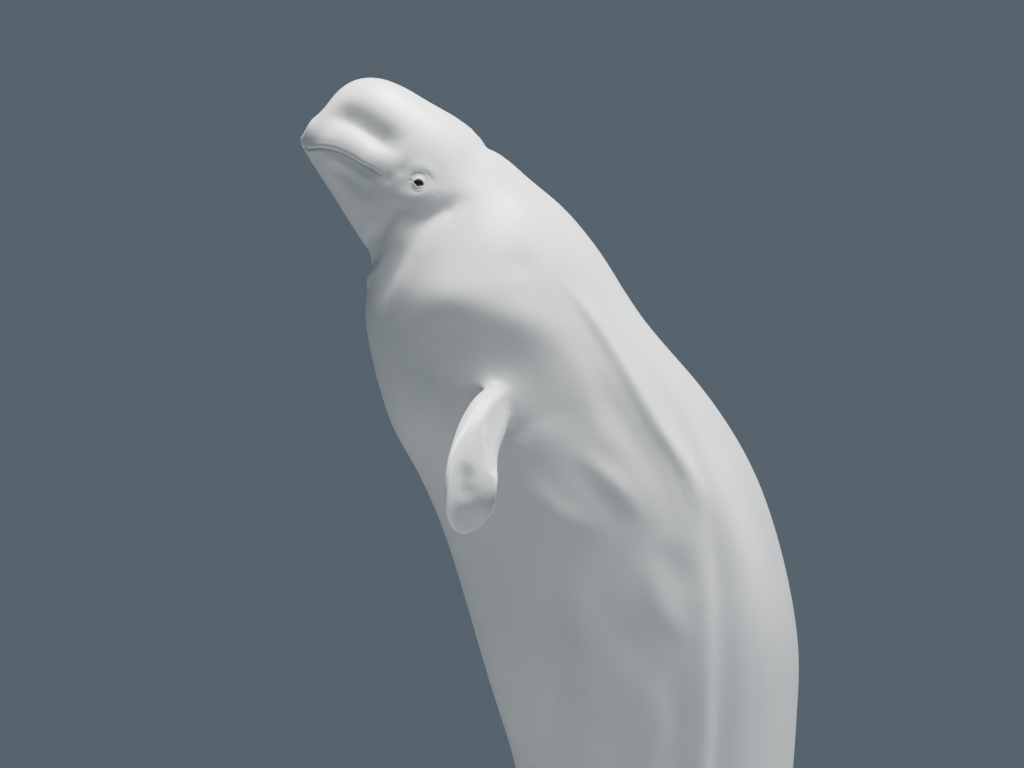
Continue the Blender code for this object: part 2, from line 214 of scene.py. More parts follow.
STATIONS = (
    Station("jaw_tip", (-0.751, 3.757), (-0.751, 3.736), 0.024, 0.50, 2.1, 2.1),
    Station("lips", (-0.743, 3.778), (-0.745, 3.719), 0.053, 0.52, 2.3, 2.3),
    Station("beak_front", (-0.727, 3.803), (-0.735, 3.701), 0.075, 0.55, 2.2, 2.3),
    Station("beak_top", (-0.700, 3.823), (-0.722, 3.682), 0.092, 0.58, 2.0, 2.3),
    Station("melon_foot", (-0.679, 3.856), (-0.708, 3.660), 0.108, 0.62, 1.8, 2.3),
    Station("melon_face", (-0.647, 3.891), (-0.692, 3.634), 0.126, 0.62, 1.9, 2.2),
    Station("melon_brow", (-0.603, 3.913), (-0.671, 3.602), 0.144, 0.60, 2.0, 2.2),
    Station("melon_crown", (-0.547, 3.913), (-0.647, 3.562), 0.163, 0.57, 2.1, 2.1),
    Station("mouth_corner", (-0.486, 3.889), (-0.620, 3.519), 0.181, 0.55, 2.15, 2.1),
    Station("cheek", (-0.409, 3.842), (-0.596, 3.481), 0.197, 0.54, 2.15, 2.1),
    Station("eye", (-0.335, 3.799), (-0.577, 3.439), 0.206, 0.53, 2.1, 2.1),
    Station("blowhole", (-0.284, 3.753), (-0.569, 3.410), 0.210, 0.52, 2.1, 2.1),
    Station("nape", (-0.258, 3.723), (-0.575, 3.383), 0.213, 0.52, 2.1, 2.1),
    Station("neck", (-0.205, 3.691), (-0.583, 3.346), 0.219, 0.52, 2.05, 2.1),
    Station("neck_foot", (-0.150, 3.636), (-0.585, 3.303), 0.236, 0.52, 2.05, 2.1),
    Station("shoulder", (-0.074, 3.576), (-0.581, 3.250), 0.272, 0.52, 2.0, 2.1),
    Station("flipper_front", (0.028, 3.452), (-0.562, 3.150), 0.324, 0.52, 2.0, 2.1),
    Station("flipper_root", (0.142, 3.268), (-0.516, 2.998), 0.353, 0.52, 2.0, 2.1),
    Station("ribs", (0.319, 3.053), (-0.443, 2.865), 0.363, 0.52, 2.0, 2.1),
    Station("ribs_end", (0.436, 2.849), (-0.380, 2.723), 0.368, 0.52, 2.0, 2.1),
    Station("belly", (0.507, 2.607), (-0.321, 2.540), 0.369, 0.52, 2.0, 2.1),
    Station("navel", (0.534, 2.413), (-0.269, 2.362), 0.367, 0.52, 2.0, 2.1),
    Station("flank", (0.527, 2.268), (-0.228, 2.236), 0.358, 0.52, 2.0, 2.05),
    Station("waist", (0.514, 2.115), (-0.192, 2.115), 0.345, 0.51, 1.95, 2.0),
    Station("loin", (0.489, 1.867), (-0.141, 1.844), 0.310, 0.51, 1.9, 2.0),
    Station("vent", (0.445, 1.581), (-0.099, 1.610), 0.262, 0.50, 1.85, 1.95),
    Station("tail_root", (0.369, 1.302), (-0.077, 1.372), 0.208, 0.50, 1.85, 1.9),
    Station("tail_upper", (0.262, 1.034), (-0.082, 1.132), 0.155, 0.50, 1.8, 1.85),
    Station("tail_middle", (0.128, 0.785), (-0.122, 0.891), 0.108, 0.50, 1.8, 1.8),
    Station("tail_lower", (-0.023, 0.555), (-0.199, 0.653), 0.074, 0.50, 1.8, 1.8),
    Station("fluke_root", (-0.189, 0.343), (-0.305, 0.421), 0.052, 0.50, 1.9, 1.9),
    Station("tail_end", (-0.314, 0.262), (-0.338, 0.282), 0.016, 0.50, 2.0, 2.0),
)


def catmull_rom(rows: Sequence[Sequence[float]], position: float) -> list[float]:
    """Read a smooth curve through rows of numbers.

    Args:
        rows: the values that the curve passes through, a step apart.
        position: where to read it, counted in steps from the first row.

    Returns:
        The blended row.
    """
    last = len(rows) - 1
    i = min(max(int(position), 0), last - 1)
    t = position - i
    blended = []
    for a, b, c, d in zip(rows[max(i - 1, 0)], rows[i], rows[i + 1], rows[min(i + 2, last)]):
        slope_in = (c - a) / 2
        slope_out = (d - b) / 2
        cube = 2 * b - 2 * c + slope_in + slope_out
        square = -3 * b + 3 * c - 2 * slope_in - slope_out
        blended.append(((cube * t + square) * t + slope_in) * t + b)
    return blended


def bulge(value: float, power: float) -> float:
    """Draw a sine or cosine out towards a square by a power."""
    return math.copysign(abs(value) ** (2.0 / power), value)


def ease(value: float) -> float:
    """A soft step from 0 to 1."""
    value = min(max(value, 0.0), 1.0)
    return value * value * (3 - 2 * value)


@dataclass(frozen=True)
class BodyShape:
    """The body's outline as a run of sections, read anywhere between them."""

    stations: tuple[Station, ...] = STATIONS

    def number(self, name: str) -> int:
        """The place of a named station in the run."""
        return [s.name for s in self.stations].index(name)

    def ends(self, position: float) -> tuple[Vector, Vector]:
        """The back's and the belly's point of the section at a position."""
        values = catmull_rom([s.values for s in self.stations], position)
        return Vector((values[0], 0, values[1])), Vector((values[2], 0, values[3]))

    def ring(self, position: float, count: int) -> list[Vector]:
        """The points round the body, from the middle of the back by way of the right side.

        Args:
            position: where along the body, counted in stations.
            count: how many points.

        Returns:
            The points in order.
        """
        values = catmull_rom([s.values for s in self.stations], position)
        half_width, widest, upper, lower = values[4:]
        back, belly = self.ends(position)
        rise = (back - belly).normalized()
        middle = back.lerp(belly, widest)
        points = []
        for k in range(count):
            level = math.cos(math.tau * k / count)
            side = math.sin(math.tau * k / count)
            if abs(level) < TINY:
                level = 0.0
            end, power = (back, upper) if level >= 0 else (belly, lower)
            reach = (end - middle).length * bulge(level, power)
            points.append(middle + rise * reach + Vector((0, half_width * bulge(side, power), 0)))
        return points


@dataclass(frozen=True)
class Fin:
    """What a flipper and a fluke have in common: a blade built of sections."""

    count: int
    rear_fullness: float = 0.40
    cupping_power: float = 3.0
    roundness: float = 2.0
    focus: float = 1.0
    swelling: float = 1.05

    def section(
        self,
        middle: Vector,
        forward: Vector,
        normal: Vector,
        chord: float,
        thickness: float,
        cupping: float = 0.0,
    ) -> list[Vector]:
        """One section: round at its front edge and thin at its rear edge.

        Args:
            middle: the middle of the chord.
            forward: the direction of the front edge.
            normal: the direction of the face that is cupped.
            chord: from the front edge to the rear edge.
            thickness: at the thickest place.
            cupping: how far both edges rise above the middle.

        Returns:
            The points round the section, the front edge first.
        """
        points = []
        for k in range(self.count):
            angle = math.tau * k / self.count
            ahead = math.cos(angle)
            fullness = self.rear_fullness + (1 - self.rear_fullness) * ((ahead + 1) / 2) ** self.focus
            lift = thickness / 2 * bulge(math.sin(angle), self.roundness) * fullness + cupping * abs(ahead) ** self.cupping_power
            along = ahead * chord / 2
            points.append(middle + forward * (along * self.swelling) + normal * (lift * self.swelling))
        return points


@dataclass(frozen=True)
class Flipper(Fin):
    """The left flipper, a blade along a bent middle line that starts inside the chest."""

    count: int = 12
    root: Vector = Vector((-0.204, -0.240, 3.032))
    elbow: Vector = Vector((-0.204, -0.420, 3.038))
    wrist: Vector = Vector((-0.352, -0.640, 2.815))
    tip: Vector = Vector((-0.294, -0.535, 2.672))
    root_edge: Vector = Vector((0.30, 0.36, -0.88))
    tip_edge: Vector = Vector((0.94, 0.18, 0.08))
    turn: float = 0.9
    root_chord: float = 0.116
    full_chord: float = 0.120
    waist: float = 0.36
    peak: float = 0.80
    tip_power: float = 2.6
    root_thickness: float = 0.088
    tip_thickness: float = 0.022
    cupping: float = 0.38
    camber: float = -0.17
    cupping_span: tuple[float, float] = (0.46, 0.82)
    tip_flattening: float = 0.14
    cupping_power: float = 2.2
    roundness: float = 2.7
    rear_fullness: float = 0.25
    focus: float = 2.0
    skin_at: float = 0.15
    skin_spread: tuple[float, float] = (1.06, 1.05)
    skin_fullness: float = 0.8
    over_face: float = 0.03
    sections_at: tuple[float, ...] = (0.225, 0.28, 0.34, 0.40, 0.47, 0.54, 0.61, 0.68, 0.75, 0.83, 0.90, 0.955, 0.990)

    def chord(self, t: float) -> float:
        """The chord at a share of the length."""
        if t < self.peak:
            return self.root_chord + (self.full_chord - self.root_chord) * ease((t - self.waist) / (self.peak - self.waist))
        fall = (t - self.peak) / (1 - self.peak)
        return self.full_chord * math.sqrt(max(1 - fall**self.tip_power, 0.0))

    def frame_at(self, t: float) -> tuple[Vector, Vector, Vector, Vector]:
        """The middle, heading, front edge's direction and normal at a share of the length."""
        s = 1 - t
        middle = self.root * s**3 + self.elbow * (3 * s * s * t) + self.wrist * (3 * s * t * t) + self.tip * t**3
        heading = (
            (self.elbow - self.root) * (s * s) + (self.wrist - self.elbow) * (2 * s * t) + (self.tip - self.wrist) * (t * t)
        ).normalized()
        edge = self.root_edge.lerp(self.tip_edge, t**self.turn)
        edge = (edge - heading * edge.dot(heading)).normalized()
        return middle, heading, -edge, heading.cross(edge).normalized()

    def on_face(self, *spots: tuple[float, float]) -> tuple[tuple[float, ...], ...]:
        """Places over the outer face.

        Args:
            spots: each a share of the length, and how far ahead: 1 at the front edge, -1 at the rear one.

        Returns:
            The places.
        """
        places = []
        for t, ahead in spots:
            middle, _, forward, normal = self.frame_at(t)
            places.append(tuple(middle + forward * (ahead * self.chord(t) / 2) + normal * self.over_face))
        return tuple(places)

    def outline(self, t: float, spread: tuple[float, float] = (1.0, 1.0)) -> list[Vector]:
        """The section at a share of the length, drawn out in chord and thickness."""
        middle, _, forward, normal = self.frame_at(t)
        thickness = self.root_thickness + (self.tip_thickness - self.root_thickness) * t
        chord = self.chord(t)
        start, full = self.cupping_span
        cupped = ease((t - start) / (full - start))
        cupping = (self.camber + (self.cupping - self.camber) * cupped) * ease((1 - t) / self.tip_flattening) * chord
        return self.section(middle, forward, normal, chord * spread[0], thickness * spread[1], cupping)


@dataclass(frozen=True)
class Fluke(Fin):
    """The right fluke, a flat blade from the tail's middle out to its tip."""

    count: int = 18
    notch: Vector = Vector((-0.342, 0.0, 0.246))
    pitch: float = math.radians(36)
    half_span: float = 0.505
    root_reach: float = 0.300
    lead_power: float = 1.6
    lobe: float = 0.088
    lobe_power: float = 0.6
    tip_half_chord: float = 0.007
    root_thickness: float = 0.074
    tip_thickness: float = 0.008
    thinning: float = 0.8
    droop: float = 0.035
    sections_at: tuple[float, ...] = (0.17, 0.26, 0.36, 0.46, 0.56, 0.66, 0.76, 0.85, 0.92, 0.97, 0.995)

    def outline(self, t: float) -> list[Vector]:
        """The section at a share of the half span."""
        ahead = Vector((math.sin(self.pitch), 0, math.cos(self.pitch)))
        normal = Vector((math.cos(self.pitch), 0, -math.sin(self.pitch)))
        lead = self.root_reach * (1 - t**self.lead_power) + self.tip_half_chord
        trail = -self.lobe * math.sin(math.pi * t**self.lobe_power) - self.tip_half_chord
        middle = self.notch + ahead * ((lead + trail) / 2) + Vector((0, t * self.half_span, 0))
        middle -= normal * (self.droop * t * t)
        thickness = self.root_thickness + (self.tip_thickness - self.root_thickness) * t**self.thinning
        return self.section(middle, ahead, normal, lead - trail, thickness)


def mirrored(points: Iterable[Vector]) -> list[Vector]:
    """The same points on the animal's other side."""
    return [Vector((p.x, -p.y, p.z)) for p in points]


@dataclass(frozen=True)
class Patch:
    """A block of the cage's faces that a fin grows out of, by its rows and columns."""

    first_row: int
    last_row: int
    first_column: int
    last_column: int

    def holds(self, row: int, column: int) -> bool:
        """Whether a vertex of the cage is in the block."""
        return self.first_row <= row <= self.last_row and self.first_column <= column <= self.last_column

    def loop(self) -> list[tuple[int, int]]:
        """The rows and columns round the block, from the middle of its front end."""
        middle = (self.first_column + self.last_column) // 2
        columns = range(self.first_column, self.last_column + 1)
        rows = range(self.first_row + 1, self.last_row)
        front = [(self.first_row, c) for c in columns]
        rear = [(self.last_row, c) for c in reversed(columns)]
        round_trip = front + [(r, self.last_column) for r in rows] + rear
        round_trip += [(r, self.first_column) for r in reversed(rows)]
        start = round_trip.index((self.first_row, middle))
        return round_trip[start:] + round_trip[:start]


@dataclass
class Cage:
    """The coarse skin: rings from the snout to the tail, with the fins drawn out of its sides."""

    shape: BodyShape = field(default_factory=BodyShape)
    columns: int = 32
    head_spacing: float = 0.030
    trunk_spacing: float = 0.080
    snout_push: float = 0.007
    snout_smoothing: int = 4
    tail_push: float = 0.004
    flipper_column: int = 23
    flipper_steps: int = 4
    tail_steps: int = 4
    fluke_steps: int = 3
    fluke_start: float = 29.5
    fluke_half_columns: int = 2
    piece: bpy.types.Object | None = None
    rows: list[float] = field(default_factory=list)

    def row_positions(self) -> list[float]:
        """Where the rings stand, closer together on the head and where the fins grow."""
        forced = {
            self.shape.number("flipper_root"): self.flipper_steps,
            self.shape.number("tail_lower"): self.tail_steps,
            self.shape.number("fluke_root"): self.fluke_steps,
        }
        positions = [0.0]
        for i, (here, there) in enumerate(zip(STATIONS, STATIONS[1:])):
            run = max(math.dist(here.back, there.back), math.dist(here.belly, there.belly))
            spacing = self.head_spacing if i < self.shape.number("nape") else self.trunk_spacing
            steps = forced.get(i, max(1, round(run / spacing)))
            positions += [i + (k + 1) / steps for k in range(steps)]
        return positions

    def build(self) -> bpy.types.Object:
        """Model the whole cage.

        Returns:
            The cage as one closed piece.
        """
        self.rows = self.row_positions()
        bpy.ops.mesh.primitive_circle_add(vertices=self.columns, radius=0.02, fill_type="NOTHING")
        self.piece = bpy.context.active_object
        self.piece.name = "whale_skin"
        self.piece.data.name = "whale_skin"
        for layer in ("row", "column"):
            self.piece.data.attributes.new(layer, "INT", "POINT")
        self.piece.data.attributes.new("rim", "FLOAT", "POINT")
        with EditMode(self.piece) as edit:
            self.start_snout(edit)
            for row in range(1, len(self.rows)):
                self.extrude_ring(edit, row)
            self.soften_snout(edit)
            self.close_tail(edit)
            for side in Side:
                self.grow_flipper(edit, side)
                self.grow_fluke(edit, side)
            bpy.ops.mesh.select_all(action="SELECT")
            bpy.ops.mesh.normals_make_consistent(inside=False)
        return self.piece

    def start_snout(self, edit: EditMode) -> None:
        """Shape the first ring at the tip of the jaw and close it with a rounded grid."""
        mesh = edit.mesh
        column = mesh.verts.layers.int["column"]
        ring = self.shape.ring(self.rows[0], self.columns)
        mesh.verts.ensure_lookup_table()
        for k, vertex in enumerate(mesh.verts):
            vertex[column] = k
            vertex.co = ring[k]
        bmesh.update_edit_mesh(self.piece.data)
        edit.pick(Pick.EDGES, lambda e: True)
        bpy.ops.mesh.fill_grid(span=self.columns // 4)
        ahead = (self.shape.ends(0.0)[0] - self.shape.ends(1.0)[1]).normalized()
        self.round_cap(edit, 0, Vector((-1, 0, 0.35 * ahead.z)), self.snout_push)

    def soften_snout(self, edit: EditMode) -> None:
        """Smooth the cap at the tip of the jaw into the first rings."""
        layer = edit.mesh.verts.layers.int["row"]
        edit.pick(Pick.VERTICES, lambda v: v[layer] < 2)
        bpy.ops.mesh.vertices_smooth(factor=0.5, repeat=self.snout_smoothing)

    def round_cap(self, edit: EditMode, row: int, direction: Vector, push: float) -> None:
        """Push the inside of a grid fill outwards and mark it as no part of any ring."""
        mesh = edit.mesh
        layer = mesh.verts.layers.int["row"]
        inner = [
            v for v in mesh.verts if v[layer] == row and all(len(e.link_faces) == 2 for e in v.link_edges)
            and all(f.select for f in v.link_faces)
        ]
        for vertex in inner:
            vertex[layer] = -1
            vertex.co += direction.normalized() * push
        bmesh.update_edit_mesh(self.piece.data)

    def extrude_ring(self, edit: EditMode, row: int) -> None:
        """Extrude the open edge to the next ring of the body."""
        edit.pick(Pick.EDGES, lambda e: e.is_boundary)
        bpy.ops.mesh.extrude_region_move()
        mesh = edit.mesh
        row_layer = mesh.verts.layers.int["row"]
        column_layer = mesh.verts.layers.int["column"]
        ring = self.shape.ring(self.rows[row], self.columns)
        for vertex in mesh.verts:
            if vertex.select:
                vertex[row_layer] = row
                vertex.co = ring[vertex[column_layer]]
        bmesh.update_edit_mesh(self.piece.data)

    def close_tail(self, edit: EditMode) -> None:
        """Close the last ring, in the notch between the flukes."""
        edit.pick(Pick.EDGES, lambda e: e.is_boundary)
        bpy.ops.mesh.fill_grid(span=self.columns // 4)
        self.round_cap(edit, len(self.rows) - 1, Vector((-0.6, 0, -0.8)), self.tail_push)

    def grow(self, edit: EditMode, patch: Patch, root: list[Vector] | None, sections: list[list[Vector]]) -> None:
        """Draw a fin out of a block of faces.

        Args:
            edit: edit mode on the cage.
            patch: the block of faces.
            root: where the block's own outline moves to, or None to leave it.
            sections: the fin's outlines from the body outwards.
        """
        loop = patch.loop()
        mesh = edit.mesh
        row_layer = mesh.verts.layers.int["row"]
        column_layer = mesh.verts.layers.int["column"]

        def in_patch(vertex: bmesh.types.BMVert) -> bool:
            """Whether a vertex is in the block."""
            return patch.holds(vertex[row_layer], vertex[column_layer])

        edit.pick(Pick.FACES, lambda f: all(in_patch(v) for v in f.verts))
        mesh = edit.mesh
        spots = {(v[row_layer], v[column_layer]): v.co.copy() for v in mesh.verts if v.select}
        middle_row = (patch.first_row + patch.last_row) // 2
        across = spots[(middle_row, patch.last_column)] - spots[(middle_row, patch.first_column)]
        quarter = len(loop) // 4
        first = sections[0]
        if across.dot(first[quarter] - first[-quarter]) < 0:
            sections = [[s[0], *reversed(s[1:])] for s in sections]
            root = [root[0], *reversed(root[1:])] if root else None
        outlines = ([root] if root else []) + sections
        for number, outline in enumerate(outlines):
            if number or not root:
                bpy.ops.mesh.extrude_region_move()
            places = dict(zip(loop, outline))
            rims = {spot: self.rim_share(k, number, len(loop), len(outlines)) for k, spot in enumerate(loop)}
            width = patch.last_column - patch.first_column
            for row in range(patch.first_row + 1, patch.last_row):
                start = places[(row, patch.first_column)]
                end = places[(row, patch.last_column)]
                for column in range(patch.first_column + 1, patch.last_column):
                    places[(row, column)] = start.lerp(end, (column - patch.first_column) / width)
            mesh = edit.mesh
            row_layer = mesh.verts.layers.int["row"]
            column_layer = mesh.verts.layers.int["column"]
            rim_layer = mesh.verts.layers.float["rim"]
            for vertex in mesh.verts:
                if vertex.select:
                    spot = (vertex[row_layer], vertex[column_layer])
                    vertex.co = places[spot]
                    vertex[rim_layer] = rims.get(spot, 0.0)
            bmesh.update_edit_mesh(self.piece.data)

    @staticmethod
    def rim_share(k: int, number: int, around: int, sections: int) -> float:
        """How far a point of a fin's section lies on the thin rear edge or the tip, from 0 to 1."""
        rear = max(-math.cos(math.tau * k / around), 0.0) ** 3
        return rear * ease(3 * number / sections) + (1 - rear) * 0.6 * ease((number / (sections - 1) - 0.8) / 0.2)

    def even_out(self, edit: EditMode, patch: Patch, margin: int, repeat: int) -> None:
        """Smooth the cage round a fin's root, apart from the root itself.

        Args:
            edit: edit mode on the cage.
            patch: the block of faces that the fin grew out of.
            margin: how many rows and columns round the block are smoothed.
            repeat: how many times.
        """
        mesh = edit.mesh
        row_layer = mesh.verts.layers.int["row"]
        column_layer = mesh.verts.layers.int["column"]
        wide = Patch(
            patch.first_row - margin, patch.last_row + margin, patch.first_column - margin, patch.last_column + margin
        )

        def beside(vertex: bmesh.types.BMVert) -> bool:
            """Whether a vertex is round the block."""
            spot = (vertex[row_layer], vertex[column_layer])
            return wide.holds(*spot) and not patch.holds(*spot)

        edit.pick(Pick.VERTICES, beside)
        bpy.ops.mesh.vertices_smooth(factor=0.5, repeat=repeat)

    def grow_flipper(self, edit: EditMode, side: Side) -> None:
        """Draw a flipper out of the chest."""
        flipper = Flipper()
        start = self.rows.index(float(self.shape.number("flipper_root")))
        middle = self.flipper_column if side is Side.LEFT else self.columns - self.flipper_column
        patch = Patch(start, start + self.flipper_steps, middle - 1, middle + 1)
        chest = BVHTree.FromPolygons(*self.chest_polygons())
        root = []
        _, heading, _, _ = flipper.frame_at(flipper.skin_at)
        for point in replace(flipper, rear_fullness=flipper.skin_fullness).outline(flipper.skin_at, flipper.skin_spread):
            hit, *_ = chest.ray_cast(point + heading * 0.3, -heading)
            root.append(hit if hit is not None else point)
        sections = [flipper.outline(t) for t in flipper.sections_at]
        if side is Side.RIGHT:
            root = mirrored(root)
            sections = [mirrored(s) for s in sections]
        self.grow(edit, patch, root, sections)
        self.even_out(edit, patch, 2, 3)

    def chest_polygons(self) -> tuple[list[Vector], list[tuple[int, ...]]]:
        """The chest's surface as points and faces, to find where a fin leaves it."""
        first, last = (self.rows.index(float(self.shape.number(n))) for n in ("shoulder", "ribs_end"))
        points = [p for row in self.rows[first : last + 1] for p in self.shape.ring(row, self.columns)]
        faces = []
        for r in range(last - first):
            for k in range(self.columns):
                n = (k + 1) % self.columns
                a, b = r * self.columns, (r + 1) * self.columns
                faces.append((a + k, a + n, b + n, b + k))
        return points, faces

    def grow_fluke(self, edit: EditMode, side: Side) -> None:
        """Draw a fluke out of the tail's end."""
        fluke = Fluke()
        start = self.rows.index(self.fluke_start)
        middle = self.columns * 3 // 4 if side is Side.LEFT else self.columns // 4
        half = self.fluke_half_columns
        patch = Patch(start, len(self.rows) - 1, middle - half, middle + half)
        sections = [fluke.outline(t) for t in fluke.sections_at]
        if side is Side.LEFT:
            sections = [mirrored(s) for s in sections]
        self.grow(edit, patch, None, sections)


Place = tuple[float, ...]


def settle(skin: BVHTree, place: Place, side: Side) -> Vector:
    """Put a place on the skin.

    Args:
        skin: the skin's surface.
        place: x and z as seen from the side, or x, y and z on the left side.
        side: the side that it is wanted on.

    Returns:
        The point of the skin.
    """
    if len(place) == 2:
        x, z = place
        hit, *_ = skin.ray_cast(Vector((x, side.value, z)), Vector((0, -side.value, 0)))
        return hit if hit is not None else skin.find_nearest(Vector((x, 0, z)))[0]
    x, y, z = place
    return skin.find_nearest(Vector((x, -y * side.value, z)))[0]


def smooth_line(skin: BVHTree, path: Sequence[Place], side: Side, samples: int = 6) -> np.ndarray:
    """Draw a smooth line on the skin through a path's places.

    A path that starts on the middle line is drawn right across to the other side.

    Args:
        skin: the skin's surface.
        path: the places, as settle takes them.
        side: the side that they are wanted on.
        samples: how many points there are from each place to the next.

    Returns:
        The line's points, one to a row.
    """
    spots = [settle(skin, place, side) for place in path]
    if crosses(path):
        spots = mirrored(reversed(spots[1:])) + spots
    points = [Vector(catmull_rom(spots, i / samples)) for i in range((len(spots) - 1) * samples + 1)]
    return np.array([skin.find_nearest(p)[0] for p in points])


def crosses(path: Sequence[Place]) -> bool:
    """Whether a path starts on the middle line."""
    return len(path[0]) == 3 and abs(path[0][1]) < TINY


def distances(points: np.ndarray, line: np.ndarray) -> np.ndarray:
    """How far each point is from a line.

    Args:
        points: one point to a row.
        line: the line's points.

    Returns:
        The distances.
    """
    best = np.full(len(points), np.inf)
    for a, b in zip(line, line[1:]):
        run = b - a
        share = np.clip((points - a) @ run / max(run @ run, TINY), 0, 1)
        best = np.minimum(best, np.linalg.norm(points - a - share[:, None] * run, axis=1))
    return best


@dataclass(frozen=True)
class Zone:
    """A part of the skin, on both sides, as far as reach from a path, that gets faces of a size."""

    name: str
    path: tuple[Place, ...]
    reach: float
    size: float


@dataclass(frozen=True)
class Fold:
    """A ridge or a hollow drawn along the skin, on the left side and again on the right.

    height is outwards. width reaches towards the back or the crown, and under_width the
    other way. fade is the share of the length over which each end dies away. shade is how
    much painted shade, in the dark crease colour, it lays along its line, and right is its
    strength on the right side.
    """

    name: str
    path: tuple[Place, ...]
    height: float
    width: float
    under_width: float | None = None
    fade: float = 0.3
    shade: float = 0.0
    right: float = 0.85


@dataclass(frozen=True)
class SoftSpot:
    """A small part of the skin, on both sides, that is smoothed over."""

    name: str
    place: Place
    reach: float
    repeats: int


@dataclass(frozen=True)
class Lids:
    """The bulge of the lids over an eye and the opening between them, on the left side."""

    centre: Vector = Vector((-0.437, -0.192, 3.586))
    dome: float = 0.0222
    spread: float = 0.038
    long_axis: Vector = Vector((0.93, 0.0, -0.36))
    half_length: float = 0.0150
    half_height: float = 0.0100
    depth: float = 0.008
    edge: float = 0.0016


@dataclass
class Clay:
    """The skin as a surface that is refined, then pushed in and out."""

    piece: bpy.types.Object
    places: np.ndarray = field(default_factory=lambda: np.empty(0))
    normals: np.ndarray = field(default_factory=lambda: np.empty(0))

    def read(self) -> None:
        """Take the vertices' places and normals from the mesh."""
        mesh = self.piece.data
        flat = np.empty(len(mesh.vertices) * 3, np.float32)
        mesh.vertices.foreach_get("co", flat)
        self.places = flat.reshape(-1, 3).astype(float)
        mesh.vertex_normals.foreach_get("vector", flat)
        self.normals = flat.reshape(-1, 3).astype(float)

    def write(self, painted_shade: np.ndarray) -> None:
        """Put the vertices back into the mesh.

        Args:
            painted_shade: how much painted shade, in the dark crease colour, each vertex gains.
        """
        mesh = self.piece.data
        mesh.vertices.foreach_set("co", self.places.astype(np.float32).ravel())
        # The crease attribute holds painted shade: how far each vertex is darkened towards the crease colour in
        # grooves, slits and openings.
        layer = mesh.attributes.get("crease") or mesh.attributes.new("crease", "FLOAT", "POINT")
        before = np.empty(len(mesh.vertices), np.float32)
        layer.data.foreach_get("value", before)
        layer.data.foreach_set("value", np.clip(before + painted_shade, 0, 1).astype(np.float32))
        mesh.update()

    def surface(self) -> BVHTree:
        """The skin as it is now, to find places on."""
        return BVHTree.FromObject(self.piece, bpy.context.evaluated_depsgraph_get())

    def refine(self, zones: Sequence[Zone], smoothing: int) -> None:
        """Split the faces of some parts of the skin in four.

        Args:
            zones: the parts.
            smoothing: how many times the new vertices are smoothed.
        """
        mesh = self.piece.data
        flat = np.empty(len(mesh.polygons) * 3, np.float32)
        areas = np.empty(len(mesh.polygons), np.float32)
        mesh.polygons.foreach_get("center", flat)
        mesh.polygons.foreach_get("area", areas)
        centres = flat.reshape(-1, 3) * np.array((1, -1, 1))
        centres[:, 1] = -np.abs(centres[:, 1])
        skin = self.surface()
        wanted = np.zeros(len(centres), bool)
        for zone in zones:
            near = distances(centres, smooth_line(skin, zone.path, Side.LEFT)) < zone.reach
            wanted |= near & (areas > (LARGER * zone.size) ** 2)
        with EditMode(self.piece) as edit:
            edit.pick(Pick.FACES, lambda face: wanted[face.index])
            bpy.ops.mesh.subdivide(number_cuts=1, ngon=True, quadcorner="INNERVERT")
            if smoothing:
                bpy.ops.mesh.vertices_smooth(factor=0.5, repeat=smoothing)
        LOG.info("refined %s: %d faces", ", ".join(z.name for z in zones), len(mesh.polygons))

    def soften(self, spots: Sequence[SoftSpot]) -> None:
        """Smooth the skin over at some places.

        Args:
            spots: the places.
        """
        for spot in spots:
            x, y, z = spot.place
            centres = tuple(Vector((x, -y * side.value, z)) for side in Side)
            with EditMode(self.piece) as edit:
                edit.pick(Pick.VERTICES, lambda v: any((v.co - c).length < spot.reach for c in centres))
                bpy.ops.mesh.vertices_smooth(factor=0.5, repeat=spot.repeats)
        LOG.info("softened %s", ", ".join(s.name for s in spots))

    def press(self, folds: Sequence[Fold]) -> None:
        """Push the skin along some folds, all measured on the same surface.

        Args:
            folds: the ridges and hollows.
        """
        self.read()
        skin = self.surface()
        lift = np.zeros(len(self.places))
        painted_shade = np.zeros(len(self.places))
        for fold in folds:
            sides = (Side.LEFT,) if crosses(fold.path) else tuple(Side)
            for side in sides:
                strength = fold.right if side is Side.RIGHT else 1.0
                line = smooth_line(skin, fold.path, side)
                near, weight = self.weigh(fold, line, side)
                lift[near] += fold.height * strength * weight
                # A fold's shade lays painted shade along its line, as the crease attribute.
                painted_shade[near] = np.maximum(painted_shade[near], fold.shade * weight)
        self.places += self.normals * lift[:, None]
        self.write(painted_shade)
        LOG.info("pressed %d folds", len(folds))

    def weigh(self, fold: Fold, line: np.ndarray, side: Side) -> tuple[np.ndarray, np.ndarray]:
        """Find the vertices beside a fold's line.

        Args:
            fold: the fold.
            line: its line on the skin.
            side: the side that the line is on.

        Returns:
            The vertices' numbers, and how strongly each is moved, from 0 to 1.
        """
        under_width = fold.under_width or fold.width
        margin = 2 * max(fold.width, under_width)
        low, high = line.min(0) - margin, line.max(0) + margin
        near = np.flatnonzero(((self.places > low) & (self.places < high)).all(1))
        points, normals = self.places[near], self.normals[near]
        runs = np.diff(line, axis=0)
        lengths = np.maximum(np.linalg.norm(runs, axis=1), TINY)
        starts = np.concatenate(((0.0,), np.cumsum(lengths)))
        best = np.full(len(near), np.inf)
        along = np.zeros(len(near))
        above = np.zeros(len(near))
        for a, run, length, start in zip(line, runs, lengths, starts):
            share = np.clip((points - a) @ run / length**2, 0, 1)
            offset = points - a - share[:, None] * run
            gap = np.linalg.norm(offset, axis=1)
            closer = gap < best
            best[closer] = gap[closer]
            along[closer] = start + share[closer] * length
            across = np.cross(normals[closer], run / length)
            above[closer] = (offset[closer] * across).sum(1)
        upward = above * -side.value > 0
        width = np.where(upward, fold.width, under_width)
        ends = np.minimum(along, starts[-1] - along) / max(fold.fade * starts[-1], TINY)
        ends = np.clip(ends, 0, 1)
        return near, np.exp(-2 * (best / width) ** 2) * ends * ends * (3 - 2 * ends)

